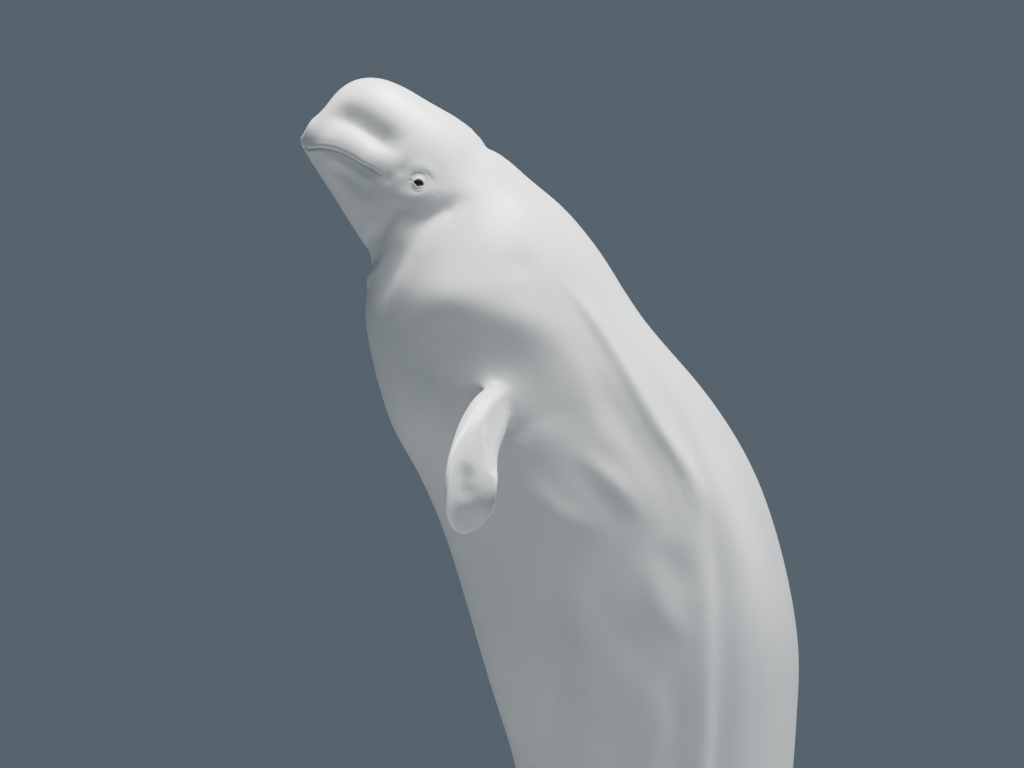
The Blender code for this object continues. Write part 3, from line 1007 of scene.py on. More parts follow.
    def raise_lids(self, lids: Lids) -> None:
        """Swell the lids over the eyes and open them, down to the eyeballs.

        Args:
            lids: the lids' sizes.
        """
        self.read()
        painted_shade = np.zeros(len(self.places))
        long_axis = lids.long_axis.normalized()
        for side in Side:
            centre = np.array((lids.centre.x, -lids.centre.y * side.value, lids.centre.z))
            outward = np.array((0.0, side.value, 0.0))
            offset = self.places - centre
            along = offset @ np.array(long_axis)
            rise = offset @ np.array((-long_axis.z, 0.0, long_axis.x))
            radius = np.hypot(along, rise)
            near = np.flatnonzero((radius < lids.spread) & (offset @ outward > 0))
            ball = np.sqrt(np.maximum(lids.dome**2 - radius[near] ** 2, 0))
            skin = offset[near] @ outward
            blend = 0.007
            top = np.maximum(skin, ball) + np.maximum(blend - np.abs(skin - ball), 0) ** 2 / (4 * blend)
            half = lids.half_height * np.maximum(1 - (along[near] / lids.half_length) ** 2, 0)
            inside = np.clip((half - np.abs(rise[near])) / lids.edge, 0, 1) * (half > 0)
            opening = inside * inside * (3 - 2 * inside)
            # The skin inside each eye's opening gets painted shade through the crease attribute.
            painted_shade[near] = opening
            self.places[near] += np.outer(top - skin - lids.depth * opening, outward)
        self.write(painted_shade)
        LOG.info("opened the lids")


MOUTH_LINE = (
    (-0.753, 0.0, 3.728),
    (-0.747, -0.030, 3.722),
    (-0.733, -0.052, 3.712),
    (-0.712, -0.087, 3.705),
    (-0.690, 3.698),
    (-0.655, 3.685),
    (-0.625, 3.670),
    (-0.592, 3.648),
    (-0.555, 3.625),
    (-0.524, 3.604),
)
BLOWHOLE = ((-0.345, -0.044, 3.800), (-0.327, -0.026, 3.792), (-0.320, 0.000, 3.790), (-0.327, 0.024, 3.792), (-0.345, 0.040, 3.800))
NECK_CREASE = ((-0.480, 3.430), (-0.445, 3.468), (-0.413, 3.496), (-0.382, 3.514), (-0.350, 3.529), (-0.320, 3.531), (-0.285, 3.522))
EYE_SPOT = ((-0.442, 3.588), (-0.432, 3.585))

FINE_ZONES = (
    Zone("face", ((-0.750, 3.750), (-0.620, 3.730), (-0.500, 3.650), (-0.360, 3.560)), 0.110, 0.0050),
    Zone("round the mouth", MOUTH_LINE, 0.034, 0.0026),
    Zone("flipper", ((-0.250, -0.430, 3.000), (-0.300, -0.520, 2.870), (-0.310, -0.500, 2.740)), 0.110, 0.0060),
    Zone("flank", ((-0.420, 3.420), (-0.200, 3.180), (0.020, 2.800), (0.110, 2.100)), 0.200, 0.0110),
)
FINER_ZONES = (
    Zone("mouth", MOUTH_LINE, 0.015, 0.0018),
    Zone("eye", EYE_SPOT, 0.050, 0.0026),
    Zone("blowhole", BLOWHOLE, 0.030, 0.0040),
)
FINEST_ZONES = (
    Zone("mouth slit", MOUTH_LINE, 0.0062, 0.0011),
    Zone("lids", EYE_SPOT, 0.030, 0.0014),
    Zone("blowhole slit", BLOWHOLE, 0.011, 0.0022),
)

HEAD_FOLDS = (
    Fold(
        "hollow between melon and upper jaw",
        ((-0.695, 3.800), (-0.660, 3.790), (-0.625, 3.775), (-0.590, 3.752), (-0.556, 3.726), (-0.522, 3.702), (-0.485, 3.680), (-0.455, 3.668)),
        -0.023, 0.060, 0.042, fade=0.33,
    ),
    Fold("upper jaw", ((-0.725, 3.728), (-0.690, 3.712), (-0.655, 3.700), (-0.620, 3.682), (-0.585, 3.658), (-0.550, 3.635), (-0.510, 3.612)), 0.010, 0.050, 0.017, fade=0.3),
    Fold("under the upper lip", ((-0.670, 3.682), (-0.625, 3.660), (-0.588, 3.636), (-0.550, 3.612)), -0.004, 0.018, 0.034, fade=0.4),
    Fold("lower lip", ((-0.700, 3.685), (-0.660, 3.667), (-0.625, 3.648), (-0.590, 3.624), (-0.555, 3.598), (-0.525, 3.578)), 0.004, 0.020),
    Fold("under the lower lip", ((-0.700, 3.670), (-0.640, 3.630), (-0.590, 3.585), (-0.545, 3.555)), -0.006, 0.028, fade=0.4),
    Fold("mouth corner", ((-0.532, 3.614), (-0.516, 3.600), (-0.504, 3.582)), -0.002, 0.020, fade=0.5),
    Fold("under the cheek", ((-0.540, 3.545), (-0.490, 3.515), (-0.450, 3.490), (-0.430, 3.460)), -0.006, 0.040, 0.060, fade=0.4),
    Fold("cheek", ((-0.516, 3.572), (-0.480, 3.553), (-0.444, 3.552), (-0.400, 3.568), (-0.360, 3.572)), 0.005, 0.034, fade=0.45),
    Fold("front of the eye socket", ((-0.495, 3.645), (-0.478, 3.622), (-0.468, 3.598)), -0.002, 0.034, fade=0.5),
    Fold("swelling over the eye", ((-0.475, 3.605), (-0.455, 3.627), (-0.428, 3.628), (-0.402, 3.608), (-0.395, 3.580)), 0.0022, 0.024, fade=0.4),
    Fold("nape", ((-0.262, 0.0, 3.722), (-0.275, -0.080, 3.705), (-0.290, -0.150, 3.665)), -0.007, 0.026, fade=0.5),
    Fold("ahead of the nape", ((-0.330, 3.690), (-0.300, 3.620), (-0.265, 3.560)), -0.003, 0.040, fade=0.5),
)
NECK_FOLDS = (
    # The shade values on these folds paint shade into the neck crease, its fine line and branch, and the throat folds.
    Fold("neck crease", NECK_CREASE, -0.011, 0.036, 0.044, fade=0.45, shade=0.1),
    Fold("fine line in the neck crease", NECK_CREASE[1:5], -0.002, 0.012, fade=0.5, shade=0.15),
    Fold("branch of the neck crease", ((-0.352, 3.535), (-0.358, 3.515), (-0.368, 3.498)), -0.0025, 0.014, fade=0.5, shade=0.1),
    Fold("first throat fold", ((-0.582, 0.0, 3.450), (-0.560, -0.100, 3.462), (-0.510, -0.175, 3.480), (-0.470, 3.500)), -0.006, 0.034, shade=0.08),
    Fold("second throat fold", ((-0.585, 0.0, 3.395), (-0.565, -0.100, 3.405), (-0.520, -0.170, 3.430), (-0.480, 3.455)), -0.007, 0.036, shade=0.08),
    Fold("third throat fold", ((-0.590, 0.0, 3.340), (-0.575, -0.080, 3.343), (-0.545, -0.130, 3.360)), -0.005, 0.038, fade=0.3),
    Fold("throat roll", ((-0.590, 0.0, 3.368), (-0.565, -0.100, 3.377), (-0.530, -0.155, 3.400)), 0.006, 0.026),
    Fold("side of the throat", ((-0.430, 3.485), (-0.465, 3.435), (-0.505, 3.375), (-0.540, 3.310), (-0.550, 3.240)), -0.009, 0.060, 0.080, fade=0.45),
    Fold("crest of the chest", ((-0.345, 3.500), (-0.392, 3.460), (-0.422, 3.424), (-0.452, 3.375), (-0.477, 3.325), (-0.497, 3.270), (-0.505, 3.200)), 0.009, 0.085, 0.050, fade=0.4),
    Fold("brow of the chest", ((-0.490, 3.235), (-0.390, 3.275), (-0.285, 3.245), (-0.180, 3.210), (-0.105, 3.175), (-0.030, 3.130)), 0.012, 0.100, 0.090, fade=0.35),
    Fold("under the brow of the chest", ((-0.480, 3.115), (-0.358, 3.135), (-0.258, 3.098), (-0.158, 3.035), (-0.083, 2.955)), -0.009, 0.110, fade=0.4),
    Fold("hollow over the flipper", ((-0.360, 3.060), (-0.240, 3.060), (-0.140, 3.010), (-0.050, 2.930)), -0.006, 0.100, fade=0.4),
    Fold("hollow on the shoulder", ((-0.230, 3.400), (-0.173, 3.355), (-0.118, 3.315)), -0.005, 0.060, fade=0.5),
    # Painted shade in the small pit.
    Fold("pit behind the neck crease", ((-0.350, 3.480), (-0.342, 3.470)), -0.002, 0.007, fade=0.5, shade=0.3),
)
FLANK_FOLDS = (
    Fold(
        "long ridge of the flank",
        ((-0.090, 3.350), (-0.020, 3.255), (0.043, 3.153), (0.100, 3.050), (0.156, 2.949), (0.205, 2.875), (0.243, 2.802), (0.265, 2.700)),
        0.012, 0.036, 0.028, fade=0.25,
    ),
    Fold("lower part of the long ridge", ((0.250, 2.760), (0.263, 2.590), (0.268, 2.428), (0.267, 2.285), (0.260, 2.150), (0.235, 1.900)), 0.005, 0.045, 0.050),
    Fold("groove under the long ridge", ((-0.064, 3.215), (-0.008, 3.123), (0.030, 3.035), (0.100, 2.915), (0.162, 2.808), (0.193, 2.711), (0.203, 2.628)), -0.006, 0.045, 0.060, fade=0.4),
    Fold("groove over the long ridge", ((0.060, 3.200), (0.120, 3.120), (0.192, 3.004), (0.240, 2.895), (0.283, 2.771)), -0.005, 0.050, 0.030, fade=0.4),
    Fold("groove down the back", ((0.275, 2.800), (0.302, 2.623), (0.309, 2.477), (0.307, 2.309), (0.296, 2.150), (0.270, 1.900)), -0.010, 0.055, 0.038),
    Fold("second ridge", ((-0.138, 3.249), (-0.074, 3.147), (-0.030, 3.085), (0.000, 2.970), (0.046, 2.905), (0.090, 2.863), (0.140, 2.770)), 0.003, 0.050, fade=0.4),
    Fold("short fold", ((-0.060, 2.910), (-0.011, 2.862), (0.059, 2.792), (0.108, 2.731), (0.140, 2.690)), 0.007, 0.040, 0.032, fade=0.5),
    Fold("under the short fold", ((-0.070, 2.860), (-0.023, 2.813), (0.018, 2.764), (0.052, 2.715), (0.085, 2.665)), -0.003, 0.030, 0.045, fade=0.5),
    Fold("fold behind the flipper", ((-0.188, 2.850), (-0.139, 2.791), (-0.090, 2.734), (-0.028, 2.699), (0.020, 2.660)), 0.006, 0.040, 0.050, fade=0.45),
    Fold("low ridge", ((0.085, 2.655), (0.133, 2.580), (0.156, 2.507), (0.204, 2.444), (0.246, 2.387)), 0.006, 0.048, fade=0.45),
    Fold("hollow over the low ridge", ((0.180, 2.680), (0.206, 2.572), (0.195, 2.504)), -0.005, 0.050, fade=0.5),
    Fold("hollow under the low ridge", ((0.030, 2.560), (0.083, 2.430), (0.126, 2.361), (0.107, 2.270)), -0.004, 0.060, fade=0.5),
    Fold("ridge of the belly's side", ((-0.048, 2.640), (-0.030, 2.470), (-0.005, 2.310), (0.005, 2.190), (0.010, 2.000)), 0.009, 0.060, fade=0.35),
    Fold("hollow of the belly's side", ((-0.130, 2.660), (-0.110, 2.480), (-0.090, 2.320), (-0.070, 2.150)), -0.004, 0.070, fade=0.4),
    Fold("lowest ridge", ((0.165, 2.360), (0.140, 2.230), (0.125, 2.125), (0.115, 1.950)), 0.009, 0.044, fade=0.35),
    Fold("groove over the lowest ridge", ((0.208, 2.380), (0.197, 2.200), (0.190, 2.120), (0.180, 1.950)), -0.005, 0.042, fade=0.35),
    Fold("dimple", ((0.205, 2.935), (0.214, 2.918)), -0.003, 0.012, fade=0.5),
    Fold("armpit", ((-0.195, -0.345, 2.975), (-0.190, -0.345, 2.940), (-0.205, -0.340, 2.905)), -0.005, 0.045, fade=0.5),
)
FLIPPER = Flipper()
FLIPPER_FOLDS = (
    Fold("roll of the front edge", FLIPPER.on_face((0.16, 0.45), (0.30, 0.45), (0.45, 0.40), (0.56, 0.20)), 0.006, 0.020, 0.014, fade=0.3),
    Fold("hollow behind the roll", FLIPPER.on_face((0.14, -0.35), (0.30, -0.45), (0.45, -0.55), (0.56, -0.70)), -0.003, 0.030, fade=0.3),
    Fold("arm to the rear rim", FLIPPER.on_face((0.44, 0.15), (0.54, -0.15), (0.64, -0.55), (0.76, -0.90)), 0.005, 0.018, fade=0.3),
    Fold("rear rim", FLIPPER.on_face((0.62, -1.0), (0.74, -1.0), (0.84, -1.0), (0.92, -0.98), (0.97, -0.7)), 0.003, 0.010, fade=0.3),
    Fold("front rim", FLIPPER.on_face((0.50, 0.95), (0.64, 0.98), (0.78, 1.0), (0.90, 0.95)), 0.004, 0.016, fade=0.3),
    Fold("bowl", FLIPPER.on_face((0.66, 0.15), (0.76, 0.08), (0.87, 0.0)), -0.008, 0.034, fade=0.4),
)
ROOT_SPOTS = (
    SoftSpot("root of the flipper", (-0.270, -0.340, 3.045), 0.034, 14),
    SoftSpot("armpit", (-0.205, -0.350, 2.945), 0.034, 8),
)
TAIL_FOLDS = (
    Fold("ridge of the back", ((0.508, 0.0, 2.040), (0.497, 0.0, 1.930), (0.478, 0.0, 1.780), (0.440, 0.0, 1.560), (0.395, 0.0, 1.400)), 0.012, 0.030),
    Fold("keel of the tail over", ((0.330, 0.0, 1.200), (0.200, 0.0, 0.920), (0.050, 0.0, 0.670), (-0.080, 0.0, 0.480)), 0.006, 0.030),
    Fold("keel of the tail under", ((-0.080, 0.0, 1.200), (-0.100, 0.0, 1.000), (-0.150, 0.0, 0.780), (-0.240, 0.0, 0.560)), 0.006, 0.030),
    # The navel, the slit of the belly and the vent get painted shade in their hollows.
    Fold("navel", ((-0.268, 0.0, 2.375), (-0.262, 0.0, 2.345)), -0.006, 0.018, fade=0.5, shade=0.4),
    Fold("slit of the belly", ((-0.122, 0.0, 1.730), (-0.110, 0.0, 1.660), (-0.100, 0.0, 1.590)), -0.010, 0.018, shade=0.4),
    Fold("beside the slit", ((-0.118, -0.032, 1.720), (-0.100, -0.036, 1.660), (-0.095, -0.032, 1.600)), 0.006, 0.030, fade=0.4),
    Fold("vent", ((-0.092, 0.0, 1.470), (-0.088, 0.0, 1.440)), -0.008, 0.014, fade=0.5, shade=0.6),
    Fold("side of the tail", ((0.190, 1.900), (0.170, 1.600), (0.120, 1.300), (0.050, 1.050)), 0.006, 0.060, fade=0.4),
    Fold("hollow of the tail's side", ((0.080, 1.950), (0.060, 1.650), (0.020, 1.350)), -0.006, 0.070, fade=0.4),
)
BACK_NOTCHES = tuple(
    Fold(f"notch {number}", ((x, 0.0, z), (x - 0.012, -0.030, z - 0.002)), -0.007, 0.012, fade=0.5)
    for number, (x, z) in enumerate(((0.499, 1.945), (0.492, 1.885), (0.484, 1.820), (0.473, 1.750), (0.460, 1.680), (0.445, 1.605), (0.428, 1.530)))
)
FACE_DETAILS = (
    # The mouth slit, the blowhole, the lid folds and the ear get painted shade in their hollows.
    Fold("mouth slit", MOUTH_LINE, -0.0055, 0.0032, fade=0.06, shade=0.45, right=1.0),
    Fold("edge of the upper lip", tuple((*p[:-1], p[-1] + 0.009) for p in MOUTH_LINE), 0.0014, 0.009, fade=0.1),
    Fold("edge of the lower lip", tuple((*p[:-1], p[-1] - 0.009) for p in MOUTH_LINE), 0.0012, 0.009, fade=0.1),
    Fold("blowhole", BLOWHOLE, -0.014, 0.0055, fade=0.15, shade=0.9, right=0.0),
    Fold("behind the blowhole", ((-0.330, -0.050, 3.790), (-0.308, -0.026, 3.780), (-0.300, 0.000, 3.778), (-0.308, 0.024, 3.780), (-0.330, 0.046, 3.790)), 0.0025, 0.016, right=0.0, fade=0.4),
    Fold("ahead of the blowhole", ((-0.350, -0.022, 3.805), (-0.338, 0.000, 3.802), (-0.350, 0.020, 3.805)), 0.002, 0.014, right=0.0, fade=0.4),
    Fold("fold of the upper lid", ((-0.462, 3.594), (-0.454, 3.606), (-0.438, 3.612), (-0.421, 3.606), (-0.411, 3.590)), -0.0012, 0.0045, fade=0.35, shade=0.2),
    Fold("outer fold of the upper lid", ((-0.437, 3.621), (-0.418, 3.614), (-0.405, 3.598), (-0.401, 3.582)), -0.0014, 0.008, fade=0.45, shade=0.15),
    Fold("fold of the lower lid", ((-0.460, 3.577), (-0.449, 3.565), (-0.434, 3.561), (-0.418, 3.568)), -0.0009, 0.0045, fade=0.4, shade=0.12),
    Fold("front corner of the lids", ((-0.451, 3.591), (-0.460, 3.594), (-0.468, 3.594)), -0.0012, 0.003, fade=0.5, shade=0.3),
    Fold("ear", ((-0.384, 3.558), (-0.381, 3.556)), -0.004, 0.004, fade=0.5, shade=0.7),
)


class Wiring:
    """A node tree, with short ways to add and link its nodes."""

    def __init__(self, tree: bpy.types.NodeTree) -> None:
        """Remember the tree to work on."""
        self.tree = tree

    def add(self, kind: str, feeds: dict[str | int, object] | None = None, **settings: object) -> bpy.types.Node:
        """Add a node.

        Args:
            kind: Blender's name for the node's type.
            feeds: what goes into its sockets, as values or as other nodes' outputs.
            settings: values for the node's own properties.

        Returns:
            The node.
        """
        node = self.tree.nodes.new(kind)
        for name, value in settings.items():
            setattr(node, name, value)
        for socket, value in (feeds or {}).items():
            if isinstance(value, bpy.types.NodeSocket):
                self.tree.links.new(value, node.inputs[socket])
            else:
                node.inputs[socket].default_value = value
        return node

    def noise(self, position: object, scale: float | object, detail: float = 4.0, roughness: float = 0.55) -> bpy.types.NodeSocket:
        """Add a noise texture and give its output."""
        feeds = {"Vector": position, "Scale": scale, "Detail": detail, "Roughness": roughness}
        return self.add("ShaderNodeTexNoise", feeds).outputs["Fac"]

    def stretch(self, position: object, scale: Sequence[float], turn: Sequence[float] = (0, 0, 0)) -> bpy.types.NodeSocket:
        """Turn and stretch the coordinates of a pattern."""
        feeds = {"Vector": position, "Rotation": tuple(turn), "Scale": tuple(scale)}
        return self.add("ShaderNodeMapping", feeds).outputs["Vector"]

    def spread(self, value: object, span: tuple[float, float], result: tuple[float, float] = (0.0, 1.0)) -> bpy.types.NodeSocket:
        """Map a span of values to another, with soft ends."""
        feeds = {"Value": value, "From Min": span[0], "From Max": span[1], "To Min": result[0], "To Max": result[1]}
        return self.add("ShaderNodeMapRange", feeds, interpolation_type="SMOOTHSTEP").outputs["Result"]

    def blend(self, mask: object, first: object, second: object) -> bpy.types.NodeSocket:
        """Blend two colours by a mask."""
        feeds = {0: mask, 6: first, 7: second}
        return self.add("ShaderNodeMix", feeds, data_type="RGBA").outputs[2]

    def figure(self, operation: str, *values: object) -> bpy.types.NodeSocket:
        """Do a sum on values."""
        return self.add("ShaderNodeMath", dict(enumerate(values)), operation=operation).outputs[0]

    def position(self) -> bpy.types.NodeSocket:
        """The place on the piece, in metres."""
        return self.add("ShaderNodeTexCoord").outputs["Object"]


class Effect(Enum):
    """The effects that several finishes share, each a node group built once."""

    CLOUDS = "clouds"
    SCRATCHES = "scratches"
    GRAIN = "grain"

    def group(self) -> bpy.types.NodeTree:
        """The effect's node group.

        Returns:
            The group, which takes Position and Scale and gives Mask.
        """
        found = bpy.data.node_groups.get(self.value)
        if found:
            return found
        tree = bpy.data.node_groups.new(self.value, "ShaderNodeTree")
        tree.interface.new_socket(name="Position", in_out="INPUT", socket_type="NodeSocketVector")
        tree.interface.new_socket(name="Scale", in_out="INPUT", socket_type="NodeSocketFloat")
        tree.interface.new_socket(name="Mask", in_out="OUTPUT", socket_type="NodeSocketFloat")
        wiring = Wiring(tree)
        given = wiring.add("NodeGroupInput").outputs
        mask = getattr(self, f"draw_{self.value}")(wiring, given["Position"], given["Scale"])
        wiring.add("NodeGroupOutput", {"Mask": mask})
        return tree

    @staticmethod
    def draw_clouds(wiring: Wiring, position: object, scale: object) -> bpy.types.NodeSocket:
        """Soft patches of a second tone."""
        return wiring.spread(wiring.noise(position, scale, 5.0, 0.6), (0.36, 0.64))

    @staticmethod
    def draw_scratches(wiring: Wiring, position: object, scale: object) -> bpy.types.NodeSocket:
        """Thin lines in two directions, broken up by a coarser noise."""
        lines = []
        for turn, squeeze in (((0.3, 0.2, 0.5), (1.0, 14.0, 3.0)), ((1.1, 0.4, -0.7), (12.0, 1.0, 4.0))):
            noise = wiring.noise(wiring.stretch(position, squeeze, turn), scale, 2.0, 0.5)
            lines.append(wiring.spread(noise, (0.655, 0.70)))
        breaks = wiring.spread(wiring.noise(position, wiring.figure("MULTIPLY", scale, 0.6), 2.0), (0.48, 0.62))
        return wiring.figure("MULTIPLY", wiring.figure("MAXIMUM", *lines), breaks)

    @staticmethod
    def draw_grain(wiring: Wiring, position: object, scale: object) -> bpy.types.NodeSocket:
        """A fine, even grain with a trace of a coarser one."""
        fine = wiring.noise(position, scale, 6.0, 0.65)
        coarse = wiring.noise(position, wiring.figure("MULTIPLY", scale, 0.22), 3.0)
        return wiring.figure("ADD", wiring.figure("MULTIPLY", fine, 0.6), wiring.figure("MULTIPLY", coarse, 0.4))

    def place(self, wiring: Wiring, position: object, scale: float) -> bpy.types.NodeSocket:
        """Put the effect in a material and give its mask."""
        node = wiring.add("ShaderNodeGroup", node_tree=self.group())
        for socket, value in (("Position", position), ("Scale", scale)):
            if isinstance(value, bpy.types.NodeSocket):
                wiring.tree.links.new(value, node.inputs[socket])
            else:
                node.inputs[socket].default_value = value
        return node.outputs["Mask"]


Colour = tuple[float, float, float, float]


@dataclass(frozen=True)
class Finish:
    """A material's name, and the numbers that are the same all over the surface."""

    name: str
    fixed: tuple[tuple[str, float], ...] = ()

    def material(self) -> bpy.types.Material:
        """The finish as a material, built once.

        Returns:
            The material.
        """
        found = bpy.data.materials.get(self.name)
        if found:
            return found
        material = bpy.data.materials.new(self.name)
        material.use_nodes = True
        wiring = Wiring(material.node_tree)
        shader = material.node_tree.nodes["Principled BSDF"]
        for socket, value in self.fixed:
            shader.inputs[socket].default_value = value
        for socket, source in self.feeds(wiring).items():
            material.node_tree.links.new(source, shader.inputs[socket])
        return material

    def feeds(self, wiring: Wiring) -> dict[str, bpy.types.NodeSocket]:
        """What feeds the shader's sockets, by name."""
        raise NotImplementedError

    def dress(self, piece: bpy.types.Object) -> None:
        """Give a piece this finish all over."""
        piece.data.materials.clear()
        piece.data.materials.append(self.material())


@dataclass(frozen=True)
class WhaleSkin(Finish):
    """White skin: soft patches, painted shade in creases, slits and openings, darker thin edges, faint scars and fine
    wrinkles.
    """

    name: str = "whale_skin"
    fixed: tuple[tuple[str, float], ...] = (("Coat Roughness", 0.25), ("Specular IOR Level", 0.45))
    white: Colour = (0.82, 0.83, 0.81, 1)
    cool: Colour = (0.70, 0.73, 0.74, 1)
    # crease is painted shade: the dark colour laid into grooves, slits and openings.
    crease: Colour = (0.13, 0.115, 0.10, 1)
    edge: Colour = (0.40, 0.42, 0.44, 1)
    scar: Colour = (0.66, 0.67, 0.66, 1)

    def feeds(self, wiring: Wiring) -> dict[str, bpy.types.NodeSocket]:
        """What feeds the shader's sockets, by name."""
        position = wiring.position()
        clouds = Effect.CLOUDS.place(wiring, position, 3.2)
        patches = Effect.CLOUDS.place(wiring, wiring.stretch(position, (1, 1, 0.45), (0, 0.5, 0)), 11.0)
        scratches = Effect.SCRATCHES.place(wiring, position, 5.0)
        grain = Effect.GRAIN.place(wiring, position, 160.0)
        wrinkles = wiring.noise(wiring.stretch(position, (26, 26, 90), (0, 0.6, 0)), 1.0, 3.0)
        # The crease attribute says where painted shade is laid.
        crease = wiring.add("ShaderNodeAttribute", attribute_name="crease").outputs["Fac"]
        rim = wiring.add("ShaderNodeAttribute", attribute_name="rim").outputs["Fac"]
        tone = wiring.figure("MULTIPLY", wiring.figure("ADD", clouds, patches), 0.35)
        colour = wiring.blend(tone, self.white, self.cool)
        colour = wiring.blend(wiring.figure("MULTIPLY", scratches, 0.12), colour, self.scar)
        colour = wiring.blend(wiring.figure("MULTIPLY", rim, 0.55), colour, self.edge)
        # Painted shade: the skin darkens towards the crease colour where the crease attribute is high.
        colour = wiring.blend(wiring.spread(crease, (0.15, 1.0)), colour, self.crease)
        relief = wiring.figure("ADD", wiring.figure("MULTIPLY", grain, 0.35), wiring.figure("MULTIPLY", wrinkles, 0.35))
        relief = wiring.figure("SUBTRACT", relief, wiring.figure("MULTIPLY", scratches, 0.05))
        bump = wiring.add("ShaderNodeBump", {"Strength": 0.35, "Distance": 0.0016, "Height": relief})
        rough = wiring.spread(wiring.figure("ADD", clouds, wiring.figure("MULTIPLY", scratches, 0.6)), (0.0, 1.6), (0.38, 0.54))
        coat = wiring.spread(patches, (0.0, 1.0), (0.22, 0.10))
        return {"Base Color": colour, "Roughness": rough, "Coat Weight": coat, "Normal": bump.outputs["Normal"]}


@dataclass(frozen=True)
class WetEye(Finish):
    """A dark eye: round pupil, brown iris with fine rays, and a dim white that the lids mostly hide."""

    name: str = "wet_eye"
    fixed: tuple[tuple[str, float], ...] = (("Coat Weight", 1.0), ("Coat Roughness", 0.02), ("Roughness", 0.12))
    centre: tuple[float, float, float] = (-0.437, 0.0, 3.586)
    pupil_radius: float = 0.0042
    iris_radius: float = 0.0088
    pupil: Colour = (0.004, 0.004, 0.005, 1)
    iris: Colour = (0.045, 0.026, 0.014, 1)
    ray: Colour = (0.020, 0.012, 0.008, 1)
    rim: Colour = (0.006, 0.005, 0.005, 1)
    white: Colour = (0.10, 0.085, 0.075, 1)

    def feeds(self, wiring: Wiring) -> dict[str, bpy.types.NodeSocket]:
        """What feeds the shader's sockets, by name."""
        offset = wiring.add("ShaderNodeVectorMath", {0: wiring.position(), 1: self.centre}, operation="SUBTRACT")
        parts = wiring.add("ShaderNodeSeparateXYZ", {0: offset.outputs[0]}).outputs
        radius = wiring.figure("SQRT", wiring.figure("ADD", wiring.figure("MULTIPLY", parts["X"], parts["X"]), wiring.figure("MULTIPLY", parts["Z"], parts["Z"])))
        angle = wiring.figure("ARCTAN2", parts["Z"], parts["X"])
        around = wiring.add("ShaderNodeCombineXYZ", {"X": wiring.figure("COSINE", angle), "Y": wiring.figure("SINE", angle), "Z": radius})
        rays = wiring.spread(wiring.noise(around.outputs[0], 14.0, 3.0), (0.40, 0.62))
        colour = wiring.blend(rays, self.iris, self.ray)
        colour = wiring.blend(wiring.spread(radius, (self.pupil_radius, self.pupil_radius + 0.0006)), self.pupil, colour)
        colour = wiring.blend(wiring.spread(radius, (self.iris_radius - 0.0012, self.iris_radius)), colour, self.rim)
        colour = wiring.blend(wiring.spread(radius, (self.iris_radius + 0.0004, self.iris_radius + 0.0022)), colour, self.white)
        return {"Base Color": colour}


@dataclass(frozen=True)
class StandPaint(Finish):
    """Satin slate paint with a faint orange peel and light wear."""

    name: str = "stand_paint"
    fixed: tuple[tuple[str, float], ...] = (("Coat Weight", 0.15), ("Coat Roughness", 0.3))
    body: Colour = (0.095, 0.105, 0.115, 1)
    second: Colour = (0.120, 0.130, 0.140, 1)
    worn: Colour = (0.20, 0.21, 0.22, 1)

    def feeds(self, wiring: Wiring) -> dict[str, bpy.types.NodeSocket]:
        """What feeds the shader's sockets, by name."""
        position = wiring.position()
        clouds = Effect.CLOUDS.place(wiring, position, 4.0)
        scratches = Effect.SCRATCHES.place(wiring, position, 9.0)
        grain = Effect.GRAIN.place(wiring, position, 420.0)
        colour = wiring.blend(clouds, self.body, self.second)
        colour = wiring.blend(wiring.figure("MULTIPLY", scratches, 0.2), colour, self.worn)
        bump = wiring.add("ShaderNodeBump", {"Strength": 0.2, "Distance": 0.0004, "Height": grain})
        rough = wiring.spread(wiring.figure("ADD", clouds, scratches), (0.0, 2.0), (0.38, 0.52))
        return {"Base Color": colour, "Roughness": rough, "Normal": bump.outputs["Normal"]}


@dataclass(frozen=True)
class BrushedSteel(Finish):
    """Steel brushed round the rods, with a little tarnish."""

    name: str = "brushed_steel"
    fixed: tuple[tuple[str, float], ...] = (("Metallic", 1.0),)
    bright: Colour = (0.56, 0.57, 0.58, 1)
    dull: Colour = (0.44, 0.445, 0.45, 1)

    def feeds(self, wiring: Wiring) -> dict[str, bpy.types.NodeSocket]:
        """What feeds the shader's sockets, by name."""
        position = wiring.position()
        brushing = wiring.noise(wiring.stretch(position, (6, 6, 700)), 1.0, 3.0, 0.7)
        clouds = Effect.CLOUDS.place(wiring, position, 7.0)
        scratches = Effect.SCRATCHES.place(wiring, position, 12.0)
        colour = wiring.blend(wiring.figure("MULTIPLY", wiring.figure("ADD", clouds, brushing), 0.5), self.bright, self.dull)
        rough = wiring.spread(wiring.figure("ADD", brushing, wiring.figure("MULTIPLY", scratches, 0.5)), (0.2, 1.4), (0.24, 0.46))
        bump = wiring.add("ShaderNodeBump", {"Strength": 0.12, "Distance": 0.0003, "Height": brushing})
        return {"Base Color": colour, "Roughness": rough, "Normal": bump.outputs["Normal"]}


@dataclass(frozen=True)
class FloorPaint(Finish):
    """A plain pale floor."""

    name: str = "pale_floor"
    light: Colour = (0.62, 0.64, 0.66, 1)
    dark: Colour = (0.58, 0.60, 0.62, 1)

    def feeds(self, wiring: Wiring) -> dict[str, bpy.types.NodeSocket]:
        """What feeds the shader's sockets, by name."""
        clouds = Effect.CLOUDS.place(wiring, wiring.position(), 0.6)
        return {"Base Color": wiring.blend(clouds, self.light, self.dark), "Roughness": wiring.spread(clouds, (0, 1), (0.6, 0.7))}


